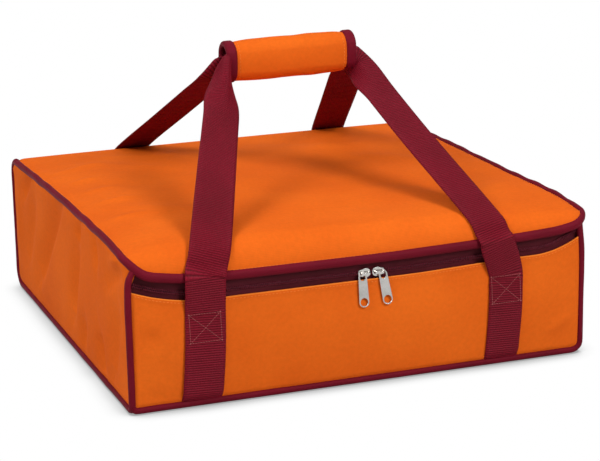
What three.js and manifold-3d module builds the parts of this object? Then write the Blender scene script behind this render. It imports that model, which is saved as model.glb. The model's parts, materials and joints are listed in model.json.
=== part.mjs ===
// Insulated pizza delivery bag: a soft box with a zipped lid, webbing handles and a wrapped grip.
// Millimetres, +Z up. X runs along the front, the front faces -Y and the base rests on Z = 0.
import * as THREE from 'three';
import { mergeVertices } from 'three/addons/utils/BufferGeometryUtils.js';
import Module from 'manifold-3d';

const wasm = await Module();
wasm.setup();

// Outer box
const bagWidth = 450;
const bagDepth = 450;
const bagHeight = 149; // lid surface at its front fold
const rearSag = 6; // rear fold lower than the front
const lidCrown = 4; // rise of the lid between those folds
const foldRadius = 18; // soft folds where the wrap turns up the back
const lidRollRadius = 25; // roll of the lid over the front
const hingeSetback = 2; // fold line of the lid, ahead of the rear fold
const gap = 0.3; // between pieces that touch

// Wall layers
const shellThickness = 2.4;
const foamThickness = 8;
const linerThickness = 1;
const boardThickness = 2.5;
const boardMargin = 6;
const rimDrop = 1.2; // lining rim below the lid lining

// Piping round the ends and the heavier trim round the lid
const pipingRadius = 3.2;
const pipingInset = 1.5; // centre of the piping inside the faces it joins
const pipingLift = 0.2; // piping clear of the table
const trimHalfHeight = 4.4;
const trimHalfDepth = 3.4;
const trimOverhang = 1; // trim centre outside the box
const trimDrop = 3; // trim centre below the lid surface on the ends
const trimCornerRadius = 18;
const trimRunOut = 14; // length beyond the corner where the trim still falls

// Zip along the front
const zipDrop = 43; // zip centre below the lid surface
const zipStraight = 384; // straight run, the ends turn up to the corners
const zipEndReach = 20;
const zipEndRise = 13;
const trimAboveZip = 10.5;
const tapeThickness = 0.8;
const tapeShown = 7; // lower tape in sight below the zip centre
const tapeTurnIn = 9; // lower tape sewn behind the front panel
const panelEndRise = 13; // front panel edge rises to the corners
const coilThickness = 2.4;
const coilHeight = 1.4;
const coilGap = 1.2; // between the two coils, where the slider's post runs

// Sliders and pulls
const sliderPairX = 7;
const sliderSpacing = 13.8;
const sliderLength = 12;
const shoulderHeight = 9;
const tailHeight = 6.2;
const plateThickness = 1.2;
const sliderClearance = 0.7; // plates clear of the coil
const postThickness = 0.6;
const postLength = 3;
const bridgeLength = 9.2;
const bridgeRise = 3.1; // free height under the bridge
const bridgeThickness = 1.5;
const bridgeHeight = 2.2;
const pullLength = 32;
const pullWidth = 9;
const pullNeck = 5.2;
const pullThickness = 1.5;
const pullHoleRadius = 2.9;
const pullLoopClearance = 0.37;
const pullLoopWall = 1;
const pullWindowWidth = 2.4;
const pullWindowLength = 5;

// Webbing handles
const webWidth = 38;
const webThickness = 2;
const frontWebInset = 77; // centre of the sewn webbing from the bag's side
const frontWebOffset = -6; // the front pair sits a little left of the middle
const rearWebInset = 104;
const rearWebOffset = 22; // the rear pair sits closer together and to the right
const webEase = 0.9; // slack of the free webbing over the folds
const webSewnTop = 90; // top of the sewn stretch
const rearWebBottom = 21;
const legSteps = 56;
const legPlain = 0.76; // share of a leg that stays flat before it folds double
const legPoints = [0.5, 0.85]; // shares of the free run that hold it straight
const frontLift = [158, 120]; // degrees round the lid's roll before a leg lifts off
const rearLift = [4, 62]; // the same round the rear fold
const entryStub = 4; // straight end of a leg at the grip

// Wrapped grip
const gripX = 9;
const gripY = -6;
const gripAboveLid = 121; // middle of the grip
const gripLength = 136;
const gripHeight = 38;
const gripWidth = 30;
const padThickness = 4;
const bindingLength = 10.5;
const bindingProud = 0.8;
const closureThickness = 0.6; // each half of the hook-and-loop closure
const closurePile = 0.4; // between hook and loop
const closureReach = 22; // degrees that each half covers
const gripSeam = 328; // degrees: the flap meets the front pad low at the rear
const tongueThickness = 2.5;
const tongueReach = 30; // degrees that the flap's tongue runs under the front pad
const tongueHeel = 6; // degrees from the seam to the tongue's root
const closureMargin = 2; // degrees from the tongue's edge to the closure
const gripMargin = 2; // webbing clear of the pad inside the grip

// Facets of the round forms
const pipingSides = 10;
const trimSides = 12;
const foldSteps = 6;
const crownSteps = 10;
const loopSides = 24;
const footSteps = 12;
const gripFacet = 15; // degrees

// Finishes
const orangeCloth = { color: 0xe8681c, roughness: 0.78, metalness: 0 };
const maroonWeb = { color: 0x74182f, roughness: 0.72, metalness: 0 };
const maroonBinding = { color: 0x6c1730, roughness: 0.62, metalness: 0 };
const darkTape = { color: 0x3c1424, roughness: 0.8, metalness: 0 };
const nickel = { color: 0xc9c7c2, roughness: 0.28, metalness: 1 };
const whiteFoam = { color: 0xe9e6df, roughness: 0.9, metalness: 0 };
const foil = { color: 0xc4c7ca, roughness: 0.35, metalness: 0.8 };
const greyBoard = { color: 0x77736c, roughness: 0.9, metalness: 0 };

// Places that follow from the sizes
const axisX = new THREE.Vector3(1, 0, 0);
const axisY = new THREE.Vector3(0, 1, 0);
const axisZ = new THREE.Vector3(0, 0, 1);
const sideX = bagWidth / 2;
const frontY = -bagDepth / 2;
const backY = bagDepth / 2;
const hingeY = backY - foldRadius - hingeSetback;
const rollY = frontY + lidRollRadius;
const rollZ = bagHeight - lidRollRadius;
const zipZ = bagHeight - zipDrop;
const trimZ = zipZ + trimAboveZip;
const trimX = sideX + trimOverhang - pipingInset;
const trimY = frontY - trimOverhang;
const trimSideZ = bagHeight - trimDrop;
const rearZ = bagHeight - rearSag;
const rearTrimZ = trimSideZ - rearSag;
const skirtZ = trimZ + trimHalfHeight + gap;
const tapeY = frontY + shellThickness + gap + tapeThickness / 2;
const pipeX = sideX - pipingInset;
const pipeFrontY = frontY + pipingInset;
const pipeBackY = backY - pipingInset;
const pipeZ = pipingRadius + pipingLift;
const pipeClear = pipingRadius + gap;
const foamSideX = sideX - shellThickness - gap;
const linerSideX = foamSideX - foamThickness - gap;
const foamFrontY = tapeY + tapeThickness / 2 + gap;
const linerFrontY = foamFrontY + foamThickness + gap;
const linerBackY = backY - shellThickness - foamThickness - 2 * gap;
const boardZ = shellThickness + gap;
const floorFoamZ = boardZ + boardThickness + gap;
const floorLinerZ = floorFoamZ + foamThickness + gap;
const lidFoamZ = bagHeight - shellThickness - gap - foamThickness;
const lidLinerZ = lidFoamZ - gap - linerThickness;
const frontPanelZ = zipZ - tapeShown;
const gripZ = bagHeight + gripAboveLid;

const group = new THREE.Group();
group.name = 'pizza_delivery_bag';

function add(name, geometry, finish) {
  const mesh = new THREE.Mesh(geometry, new THREE.MeshStandardMaterial(finish));
  mesh.name = name;
  group.add(mesh);
  return mesh;
}

// Shape builders

function block(x0, x1, y0, y1, z0, z1) {
  const box = new THREE.BoxGeometry(x1 - x0, y1 - y0, z1 - z0);
  return box.translate((x0 + x1) / 2, (y0 + y1) / 2, (z0 + z1) / 2);
}

function extrude(shape, depth, curveSegments, bevel = 0) {
  return new THREE.ExtrudeGeometry(shape, {
    depth: depth - 2 * bevel,
    curveSegments,
    bevelEnabled: bevel > 0,
    bevelSize: bevel,
    bevelOffset: -bevel,
    bevelThickness: bevel,
    bevelSegments: 1,
  }).translate(0, 0, bevel);
}

// The shape is drawn in y and z
function extrudeX(shape, x0, x1, curveSegments = 8) {
  const turn = new THREE.Matrix4().makeBasis(axisY, axisZ, axisX);
  return extrude(shape, x1 - x0, curveSegments).applyMatrix4(turn).translate(x0, 0, 0);
}

// The shape is drawn in x and z
function extrudeY(shape, y0, y1, curveSegments = 8, bevel = 0) {
  const turn = new THREE.Matrix4().makeBasis(axisX, axisZ, axisY.clone().negate());
  return extrude(shape, y1 - y0, curveSegments, bevel).applyMatrix4(turn).translate(0, y1, 0);
}

function shapeOf(points) {
  return new THREE.Shape(points.map(([a, b]) => new THREE.Vector2(a, b)));
}

function arc(centre, radius, from, to, steps) {
  return Array.from({ length: steps + 1 }, (_, i) => {
    const angle = THREE.MathUtils.degToRad(from + ((to - from) * i) / steps);
    return [centre[0] + radius * Math.cos(angle), centre[1] + radius * Math.sin(angle)];
  });
}

function ellipse(halfAcross, halfUp, sides) {
  return arc([0, 0], 1, 0, 360 - 360 / sides, sides - 1).map(([a, b]) => [a * halfAcross, b * halfUp]);
}

function volumeOf(points, faces) {
  const cross = new THREE.Vector3();
  const wedge = ([a, b, c]) => points[a].dot(cross.crossVectors(points[b], points[c])) / 6;
  return faces.reduce((sum, face) => sum + wedge(face), 0);
}

// A convex outline carried through stations, each with a place and two directions
function sweep(stations, outline) {
  const sides = outline.length;
  const points = stations.flatMap(({ at, across, up, widen = 1, thicken = 1 }) => outline.map(([a, b]) =>
    at.clone().addScaledVector(across, a * widen).addScaledVector(up, b * thicken)));
  const faces = [];
  for (let ring = 0; ring < stations.length - 1; ring += 1) {
    for (let side = 0; side < sides; side += 1) {
      const here = ring * sides + side;
      const beside = ring * sides + ((side + 1) % sides);
      faces.push([here, beside, beside + sides], [here, beside + sides, here + sides]);
    }
  }
  const last = (stations.length - 1) * sides;
  for (let side = 1; side < sides - 1; side += 1) {
    faces.push([0, side + 1, side], [last, last + side, last + side + 1]);
  }
  if (volumeOf(points, faces) < 0) faces.forEach((face) => face.reverse());
  const geometry = new THREE.BufferGeometry().setFromPoints(points);
  return geometry.setIndex(faces.flat());
}

function tangentAt(places, i) {
  const before = places[Math.max(i - 1, 0)];
  const after = places[Math.min(i + 1, places.length - 1)];
  return after.clone().sub(before).normalize();
}

// Joining and cutting

function toSolid(geometry) {
  const plain = geometry.index ? geometry.toNonIndexed() : geometry.clone();
  plain.deleteAttribute('normal');
  plain.deleteAttribute('uv');
  const merged = mergeVertices(plain, 1e-4);
  const vertProperties = new Float32Array(merged.attributes.position.array);
  const triVerts = new Uint32Array(merged.index.array);
  return new wasm.Manifold(new wasm.Mesh({ numProp: 3, vertProperties, triVerts }));
}

function toGeometry(solid) {
  const { vertProperties, triVerts } = solid.getMesh();
  const geometry = new THREE.BufferGeometry();
  geometry.setAttribute('position', new THREE.BufferAttribute(new Float32Array(vertProperties), 3));
  return geometry.setIndex(new THREE.BufferAttribute(new Uint32Array(triVerts), 1));
}

function join(...geometries) {
  return toGeometry(geometries.map(toSolid).reduce((whole, piece) => whole.add(piece)));
}

function cut(geometry, ...tools) {
  return toGeometry(tools.map(toSolid).reduce((whole, tool) => whole.subtract(tool), toSolid(geometry)));
}

function largestOf(geometry) {
  const pieces = toSolid(geometry).decompose();
  return toGeometry(pieces.reduce((best, piece) => (piece.volume() > best.volume() ? piece : best)));
}

// Crown of the lid between its folds

function crownAt(y) {
  const middle = (hingeY + rollY) / 2;
  const half = (hingeY - rollY) / 2;
  const crown = lidCrown * Math.max(0, 1 - ((y - middle) / half) ** 2);
  const toRear = THREE.MathUtils.clamp((y - rollY) / (hingeY - rollY), 0, 1);
  return crown - rearSag * toRear;
}

function crownLine(fromY, toY, level, steps = crownSteps) {
  return Array.from({ length: steps + 1 }, (_, i) => {
    const y = fromY + ((toY - fromY) * i) / steps;
    return [y, level + crownAt(y)];
  });
}

// Lid trim: up one end, down round the rounded corner, along the front and back

function smooth(t) {
  const s = Math.min(Math.max(t, 0), 1);
  return s * s * (3 - 2 * s);
}

const cornerArc = (Math.PI / 2) * trimCornerRadius;

// Height of the trim at a run past the start of its corner
function trimLevel(run) {
  return trimSideZ - (trimSideZ - trimZ) * smooth(run / (cornerArc + trimRunOut));
}

function trimPlaces() {
  const cornerY = trimY + trimCornerRadius;
  const cornerX = trimX - trimCornerRadius;
  const left = crownLine(hingeY - gap, cornerY, trimSideZ, crownSteps - 2)
    .map(([y, z]) => new THREE.Vector3(-trimX, y, z));
  arc([-cornerX, cornerY], trimCornerRadius, 180, 270, foldSteps).slice(1).forEach(([x, y], i) => {
    left.push(new THREE.Vector3(x, y, trimLevel((cornerArc * (i + 1)) / foldSteps)));
  });
  [1 / 3, 2 / 3, 1].forEach((share) => {
    const run = trimRunOut * share;
    left.push(new THREE.Vector3(-cornerX + run, trimY, trimLevel(cornerArc + run)));
  });
  const right = left.map((p) => new THREE.Vector3(-p.x, p.y, p.z)).reverse();
  return [...left, ...right];
}

function trimStations() {
  const places = trimPlaces();
  return places.map((at, i) => {
    const along = tangentAt(places, i);
    const across = new THREE.Vector3().crossVectors(along, axisZ).normalize();
    const up = new THREE.Vector3().crossVectors(across, along).normalize();
    return { at, across, up };
  });
}

const trimPath = trimStations();
const trimRoom = sweep(trimPath, ellipse(trimHalfDepth + gap, trimHalfHeight + gap, trimSides));

// Zip edge: level along the front, turned up at both ends

function zipEdge(level, rise, reach = zipEndReach) {
  const half = zipStraight / 2;
  const lift = (t) => [half + reach * t, level + rise * t * t];
  const right = [0, 0.25, 0.5, 0.75, 1].map(lift);
  return [...right.map(([x, z]) => [-x, z]).reverse(), ...right];
}

// Outer shell

function endOutline(topLevel, topFront) {
  const y0 = pipeFrontY + pipeClear;
  const z0 = pipeZ + pipeClear;
  const bend = foldRadius - pipingInset;
  const inner = bend - pipeClear;
  const turnY = pipeBackY - bend;
  return [
    [y0, z0],
    ...arc([turnY, pipeZ + bend], inner, 270, 360, foldSteps),
    ...arc([turnY, rearTrimZ - bend], inner, 0, 90, foldSteps).filter(([, z]) => z < topLevel - rearSag),
    ...topFront(topLevel, y0),
  ];
}

function squareFront(topLevel, y0) {
  return crownLine(hingeY, y0, topLevel);
}

// Room for the insulation that rolls down inside the lid
function steppedFront(topLevel, y0) {
  const roll = arc([rollY, rollZ], topLevel - rollZ, 90, 180, foldSteps);
  return [...crownLine(hingeY, rollY, topLevel), ...roll, [y0, rollZ]];
}

function addShell() {
  const seamX = pipeX - pipeClear;
  const foldY = backY - foldRadius;
  const bottomFront = pipeFrontY + pipeClear;
  add('bottom_panel', block(-seamX, seamX, bottomFront, foldY - gap, 0, shellThickness), orangeCloth);

  const frontEdge = zipEdge(frontPanelZ, panelEndRise, seamX - zipStraight / 2);
  const front = shapeOf([[-seamX, pipeZ + pipeClear], [seamX, pipeZ + pipeClear], ...frontEdge.reverse()]);
  add('front_panel', extrudeY(front, frontY, frontY + shellThickness), orangeCloth);

  const innerFold = foldRadius - shellThickness;
  const back = shapeOf([
    ...arc([foldY, foldRadius], foldRadius, 270, 360, foldSteps),
    ...arc([foldY, rearZ - foldRadius], foldRadius, 0, 90, foldSteps),
    [hingeY + gap, rearZ],
    [hingeY + gap, rearZ - shellThickness],
    ...arc([foldY, rearZ - foldRadius], innerFold, 90, 0, foldSteps),
    ...arc([foldY, foldRadius], innerFold, 360, 270, foldSteps),
  ]);
  add('back_panel', extrudeX(back, -seamX, seamX), orangeCloth);

  const endTop = trimSideZ - trimHalfHeight - gap;
  const end = shapeOf(endOutline(endTop, squareFront));
  const inside = sideX - shellThickness;
  add('left_end_panel', largestOf(cut(extrudeX(end, -sideX, -inside), trimRoom)), orangeCloth);
  add('right_end_panel', largestOf(cut(extrudeX(end, inside, sideX), trimRoom)), orangeCloth);
}

// Piping: each end is corded from the front corner, under and up the back to the lid's fold line

function endPipingPlaces() {
  const bend = foldRadius - pipingInset;
  const turnY = pipeBackY - bend;
  const corner = pipeClear;
  const topZ = trimLevel(cornerArc / 2) - trimHalfHeight - 2 * gap; // under the trim's corner
  return [
    [pipeFrontY, topZ],
    ...arc([pipeFrontY + corner, pipeZ + corner], corner, 180, 270, 4),
    ...arc([turnY, pipeZ + bend], bend, 270, 360, foldSteps),
    ...arc([turnY, rearTrimZ - bend], bend, 0, 90, foldSteps),
    [hingeY + gap, rearTrimZ],
  ];
}

function addPiping() {
  const section = ellipse(pipingRadius, pipingRadius, pipingSides);
  for (const [name, x] of [['left_end_piping', -pipeX], ['right_end_piping', pipeX]]) {
    const places = endPipingPlaces().map(([y, z]) => new THREE.Vector3(x, y, z));
    const stations = places.map((at, i) => {
      const up = new THREE.Vector3().crossVectors(tangentAt(places, i), axisX).normalize();
      return { at, across: axisX, up };
    });
    add(name, sweep(stations, section), maroonBinding);
  }
  const length = 2 * (pipeX - pipeClear);
  const cord = new THREE.CylinderGeometry(pipingRadius, pipingRadius, length, pipingSides);
  cord.rotateZ(Math.PI / 2).translate(0, pipeFrontY, pipeZ);
  add('front_bottom_piping', cord, maroonBinding);
}

// Insulation, stiffener and lining

function addLayers() {
  const boardX = linerSideX - boardMargin;
  const board = block(-boardX, boardX, linerFrontY + boardMargin, linerBackY - boardMargin,
    boardZ, boardZ + boardThickness);
  add('base_board', board, greyBoard);
  add('bottom_foam', block(-linerSideX, linerSideX, linerFrontY, linerBackY,
    floorFoamZ, floorFoamZ + foamThickness), whiteFoam);

  add('front_foam', block(-linerSideX, linerSideX, foamFrontY, foamFrontY + foamThickness,
    pipeZ + pipeClear, frontPanelZ - 2 * gap), whiteFoam);
  add('back_foam', block(-linerSideX, linerSideX, linerBackY + gap, linerBackY + gap + foamThickness,
    foldRadius, rearZ - foldRadius), whiteFoam);
  const end = shapeOf(endOutline(lidFoamZ - gap, steppedFront));
  add('left_end_foam', extrudeX(end, -foamSideX, -foamSideX + foamThickness), whiteFoam);
  add('right_end_foam', extrudeX(end, foamSideX - foamThickness, foamSideX), whiteFoam);

  addLining();
}

// Lining: one flat sheet of foil on each wall and the floor
function addLining() {
  const rimZ = lidLinerZ - rearSag - rimDrop;
  const floorTop = floorLinerZ + linerThickness;
  const wallZ = floorTop + gap;
  const frontIn = linerFrontY + linerThickness;
  const backIn = linerBackY - linerThickness;
  const sideIn = linerSideX - linerThickness;
  add('tub_floor_lining', block(-linerSideX, linerSideX, linerFrontY, linerBackY,
    floorLinerZ, floorTop), foil);
  add('tub_front_lining', block(-linerSideX, linerSideX, linerFrontY, frontIn,
    wallZ, frontPanelZ - 2 * gap), foil);
  add('tub_back_lining', block(-linerSideX, linerSideX, backIn, linerBackY, wallZ, rimZ), foil);
  const end = shapeOf([
    [frontIn + gap, wallZ], [backIn - gap, wallZ], [backIn - gap, rimZ],
    [rollY, rimZ], [rollY, rollZ - gap], [frontIn + gap, rollZ - gap],
  ]);
  add('tub_left_lining', extrudeX(end, -linerSideX, -sideIn), foil);
  add('tub_right_lining', extrudeX(end, sideIn, linerSideX), foil);
}

// Lid

function lidProfile(outerRadius, bottomZ, thickness) {
  const turn = (radius) => {
    const below = Math.min(Math.max((bottomZ - rollZ) / radius, 0), 1);
    return 180 - THREE.MathUtils.radToDeg(Math.asin(below));
  };
  const innerRadius = outerRadius - thickness;
  const top = rollZ + outerRadius;
  const low = Math.min(bottomZ, rollZ);
  const bottom = bottomZ < rollZ ? [[rollY - outerRadius, low], [rollY - innerRadius, low]] : [];
  return shapeOf([
    ...crownLine(hingeY - gap, rollY, top),
    ...arc([rollY, rollZ], outerRadius, 90, turn(outerRadius), foldSteps).slice(1),
    ...bottom,
    ...arc([rollY, rollZ], innerRadius, turn(innerRadius), 90, foldSteps),
    ...crownLine(rollY, hingeY - gap, top - thickness).slice(1),
  ]);
}

function lidPlan() {
  const cornerX = trimX - trimCornerRadius;
  const cornerY = trimY + trimCornerRadius;
  return shapeOf([
    [-trimX, hingeY],
    ...arc([-cornerX, cornerY], trimCornerRadius, 180, 270, foldSteps),
    ...arc([cornerX, cornerY], trimCornerRadius, 270, 360, foldSteps),
    [trimX, hingeY],
  ]);
}

function addLid() {
  const plan = extrude(lidPlan(), 2 * bagHeight, foldSteps);
  const roll = extrudeX(lidProfile(lidRollRadius, skirtZ, shellThickness), -trimX, trimX);
  const panel = toGeometry(toSolid(roll).intersect(toSolid(plan)));
  add('lid_panel', largestOf(cut(panel, trimRoom)), orangeCloth);

  const foamRoll = lidRollRadius - shellThickness - gap;
  const foamX = foamSideX - foamThickness / 2;
  const foam = lidProfile(foamRoll, Math.max(rollZ, skirtZ) + gap, foamThickness);
  add('lid_foam', largestOf(cut(extrudeX(foam, -foamX, foamX), trimRoom)), whiteFoam);

  const linerX = linerSideX - linerThickness - 2 * gap;
  const linerBack = linerBackY - linerThickness - 2 * gap;
  const backEnd = Math.min(linerBack, hingeY - 2 * gap);
  const lining = shapeOf([
    ...crownLine(backEnd, rollY, lidLinerZ + linerThickness),
    ...crownLine(rollY, backEnd, lidLinerZ),
  ]);
  add('lid_liner', extrudeX(lining, -linerX, linerX), foil);
  add('lid_trim', sweep(trimPath, ellipse(trimHalfDepth, trimHalfHeight, trimSides)), maroonBinding);
}

// Zip tapes and coils

function addZip() {
  const half = tapeThickness / 2;
  const lowerTop = zipZ - coilGap / 2 - coilHeight - gap;
  const upperBottom = zipZ + coilGap / 2 + coilHeight + gap;
  const tapeX = zipStraight / 2 + zipEndReach;
  const lower = shapeOf([
    [-tapeX, frontPanelZ - tapeTurnIn],
    [tapeX, frontPanelZ - tapeTurnIn],
    ...zipEdge(lowerTop, zipEndRise).reverse(),
  ]);
  add('lower_zip_tape', extrudeY(lower, tapeY - half, tapeY + half), darkTape);
  const upperTop = skirtZ + shellThickness;
  const upper = shapeOf([...zipEdge(upperBottom, zipEndRise), [tapeX, upperTop], [-tapeX, upperTop]]);
  add('upper_zip_tape', extrudeY(upper, tapeY - half, tapeY + half), darkTape);

  const coilX = zipStraight / 2;
  const y0 = tapeY - coilThickness / 2;
  const y1 = tapeY + coilThickness / 2;
  const coil = (z0) => block(-coilX, coilX, y0, y1, z0, z0 + coilHeight);
  add('lower_zip_coil', coil(zipZ - coilGap / 2 - coilHeight), darkTape);
  add('upper_zip_coil', coil(zipZ + coilGap / 2), darkTape);
}

// Slider: two shield plates joined by a post between the coils, with a bridge for the pull.
// Local origin on the zip centre line, shoulder towards +X.

const slotHalf = coilThickness / 2 + sliderClearance;
const plateFace = slotHalf + plateThickness;
const bridgeAxis = plateFace + bridgeRise + bridgeThickness / 2;

function shieldShape() {
  const half = sliderLength / 2;
  const tail = tailHeight / 2;
  const shoulder = shoulderHeight / 2;
  const shape = new THREE.Shape();
  shape.moveTo(-half + tail / 2, -tail);
  shape.lineTo(half - shoulder, -shoulder);
  shape.quadraticCurveTo(half, -shoulder, half, 0);
  shape.quadraticCurveTo(half, shoulder, half - shoulder, shoulder);
  shape.lineTo(-half + tail / 2, tail);
  shape.quadraticCurveTo(-half, tail, -half, 0);
  shape.quadraticCurveTo(-half, -tail, -half + tail / 2, -tail);
  return shape;
}

function bridgeShape() {
  const half = bridgeLength / 2;
  const inner = half - bridgeThickness;
  const root = plateFace - plateThickness / 2;
  const top = plateFace + bridgeRise + bridgeThickness;
  const shape = new THREE.Shape();
  shape.moveTo(-half, root);
  shape.lineTo(half, root);
  shape.lineTo(half, top - bridgeThickness);
  shape.quadraticCurveTo(half, top, half - bridgeThickness, top);
  shape.lineTo(-half + bridgeThickness, top);
  shape.quadraticCurveTo(-half, top, -half, top - bridgeThickness);
  const window = new THREE.Path();
  window.moveTo(-inner, plateFace - plateThickness / 4);
  window.lineTo(inner, plateFace - plateThickness / 4);
  window.lineTo(inner, top - bridgeThickness);
  window.lineTo(-inner, top - bridgeThickness);
  shape.holes.push(window);
  return shape;
}

function sliderGeometry() {
  const shield = shieldShape();
  const front = extrudeY(shield, -plateFace, -slotHalf, 4, plateThickness / 4);
  const rear = extrudeY(shield, slotHalf, plateFace, 4, plateThickness / 4);
  const postEnd = sliderLength / 2 - postThickness;
  const reach = slotHalf + plateThickness / 2;
  const post = block(postEnd - postLength, postEnd, -reach, reach, -postThickness / 2, postThickness / 2);
  const bridge = extrude(bridgeShape(), bridgeHeight, 4).translate(0, 0, -bridgeHeight / 2).rotateZ(Math.PI);
  return join(front, rear, post, bridge);
}

// Pull: a flat tab with a rolled loop round the bridge and a round hole at its foot.
// Local origin on the bridge axis.

function pullGeometry() {
  const loopInner = Math.hypot(bridgeThickness, bridgeHeight) / 2 + pullLoopClearance;
  const loopOuter = loopInner + pullLoopWall;
  const loop = shapeOf(ellipse(loopOuter, loopOuter, loopSides));
  loop.holes.push(shapeOf(ellipse(loopInner, loopInner, loopSides)));
  const ring = extrudeX(loop, -pullNeck / 2, pullNeck / 2);

  const foot = pullWidth / 2;
  const holeZ = -pullLength + foot;
  const topZ = -(loopInner + loopOuter) / 2;
  const tab = shapeOf([
    [pullNeck / 2, topZ],
    [-pullNeck / 2, topZ],
    ...arc([0, holeZ], foot, 180, 360, footSteps),
  ]);
  tab.holes.push(new THREE.Path().absarc(0, holeZ, pullHoleRadius, 0, 2 * Math.PI, true));
  const windowTop = -loopOuter - pullLoopWall;
  const windowX = pullWindowWidth / 2;
  const window = new THREE.Path();
  window.moveTo(-windowX, windowTop);
  window.lineTo(-windowX, windowTop - pullWindowLength);
  window.lineTo(windowX, windowTop - pullWindowLength);
  window.lineTo(windowX, windowTop);
  tab.holes.push(window);
  const plate = extrudeY(tab, -pullThickness / 2, pullThickness / 2, 8, pullThickness / 6);
  return join(ring, plate);
}

function addSliders() {
  for (const [side, facing] of [['left', 1], ['right', -1]]) {
    const x = sliderPairX - (facing * sliderSpacing) / 2;
    const slider = add(`${side}_slider`, sliderGeometry(), nickel);
    slider.position.set(x, tapeY, zipZ);
    slider.rotation.y = facing > 0 ? 0 : Math.PI;
    const pull = add(`${side}_pull_tab`, pullGeometry(), nickel);
    pull.position.set(x, tapeY - bridgeAxis, zipZ);
  }
}

// Webbing: sewn to the front and back, then free legs that run up into the grip

const gripLeft = gripX - gripLength / 2;
const gripRight = gripX + gripLength / 2;
const webStand = gap + webThickness / 2;

function webX(side, front) {
  const offset = front ? frontWebOffset : rearWebOffset;
  const spacing = bagWidth - 2 * (front ? frontWebInset : rearWebInset);
  return offset + (side * spacing) / 2;
}

// Where a leg lies against the bag, in y and z, from the sewn top to the point where it lifts off
function legWrap(front) {
  if (front) {
    const overTrim = trimY - trimHalfDepth - webStand - webEase / 2;
    return [
      [frontY - webStand, webSewnTop + gap],
      [frontY - webStand - gap, (webSewnTop + zipZ) / 2],
      [overTrim, trimZ - trimHalfHeight / 2],
      [overTrim, trimZ + trimHalfHeight / 2],
      ...arc([rollY, rollZ], lidRollRadius + webStand + webEase, ...frontLift, 3),
    ];
  }
  return [
    [backY + webStand, webSewnTop + gap],
    [backY + webStand + gap, (webSewnTop + rearZ) / 2],
    ...arc([backY - foldRadius, rearZ - foldRadius], foldRadius + webStand + webEase, ...rearLift, 4),
  ];
}

// The leg leans evenly from where it clears the sewn webbing or the trim to the end of the grip
function legRoute(side, front) {
  const face = front ? -1 : 1;
  const baseX = webX(side, front);
  const entryX = side < 0 ? gripLeft - gap : gripRight + gap;
  const entry = [gripY + face * (gripWidth / 2 - padThickness - gripMargin - webThickness), gripZ];
  const wrap = legWrap(front);
  const lift = wrap[wrap.length - 1];
  const free = legPoints.map((t) => lift.map((start, i) => start + (entry[i] - start) * t));
  const line = [...wrap, ...free, entry];
  const upright = front ? 3 : 1; // first points that stay over the sewn webbing
  const runs = line.map(([y, z], i) => {
    const [lastY, lastZ] = line[Math.max(i - 1, 0)];
    return i <= upright ? 0 : Math.hypot(y - lastY, z - lastZ);
  });
  const total = runs.reduce((sum, run) => sum + run);
  let walked = 0;
  const places = line.map(([y, z], i) => {
    walked += runs[i];
    return new THREE.Vector3(baseX + (entryX + side * entryStub - baseX) * (walked / total), y, z);
  });
  return [...places, new THREE.Vector3(entryX, ...entry)];
}

function legGeometry(side, front) {
  const route = new THREE.CatmullRomCurve3(legRoute(side, front), false, 'centripetal');
  const places = route.getSpacedPoints(legSteps);
  const gathered = new THREE.Vector3(0, 0, side);
  const outline = [[-0.5, -0.5], [0.5, -0.5], [0.5, 0.5], [-0.5, 0.5]]
    .map(([a, b]) => [a * webWidth, b * webThickness]);
  const stations = places.map((at, i) => {
    const t = i / (places.length - 1);
    const turn = smooth((t - legPlain) / (1 - legPlain));
    const first = i === 0;
    const last = i === places.length - 1;
    const squareEnd = first ? axisZ : axisX.clone().multiplyScalar(-side);
    const along = first || last ? squareEnd : tangentAt(places, i);
    const across = axisX.clone().lerp(gathered, turn);
    across.addScaledVector(along, -across.dot(along)).normalize();
    const up = new THREE.Vector3().crossVectors(along, across).normalize();
    return { at, across, up, widen: 1 - turn / 2, thicken: 1 + turn };
  });
  return sweep(stations, outline);
}

function addWebbing() {
  for (const [sideName, side] of [['left', -1], ['right', 1]]) {
    const sewn = (x, y, z) => block(x - webWidth / 2, x + webWidth / 2,
      y - webThickness / 2, y + webThickness / 2, z, webSewnTop);
    const front = sewn(webX(side, true), frontY - webStand, pipeZ + pipeClear);
    const rear = sewn(webX(side, false), backY + webStand, rearWebBottom);
    add(`front_${sideName}_webbing`, front, maroonWeb);
    add(`rear_${sideName}_webbing`, rear, maroonWeb);
    add(`front_${sideName}_strap`, legGeometry(side, true), maroonWeb);
    add(`rear_${sideName}_strap`, legGeometry(side, false), maroonWeb);
  }
}

// Grip: a padded front half and a rear flap that close round both webbings, bound at the ends.
// Profiles are drawn in y and z about the grip's centre.

const gripRadius = gripWidth / 2;
const gripRise = gripHeight / 2 - gripRadius;

function halfWrap(front, proud = 0) {
  const outer = gripRadius + proud;
  const inner = gripRadius - padThickness;
  const shift = (front ? -gap : gap) / 2;
  const top = [shift, gripRise];
  const bottom = [shift, -gripRise];
  const far = front ? 180 : 0;
  const under = front ? gripSeam : gripSeam - 360;
  const steps = Math.ceil(Math.abs(under - far) / gripFacet);
  return [
    ...arc(top, outer, 90, far, foldSteps),
    ...arc(bottom, outer, far, under, steps),
    ...arc(bottom, inner, under, far, steps),
    ...arc(top, inner, far, 90, foldSteps),
  ];
}

function closureBand(from, to, inner, thickness) {
  const centre = [0, -gripRise];
  return [...arc(centre, inner, from, to, foldSteps), ...arc(centre, inner + thickness, to, from, foldSteps)];
}

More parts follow.
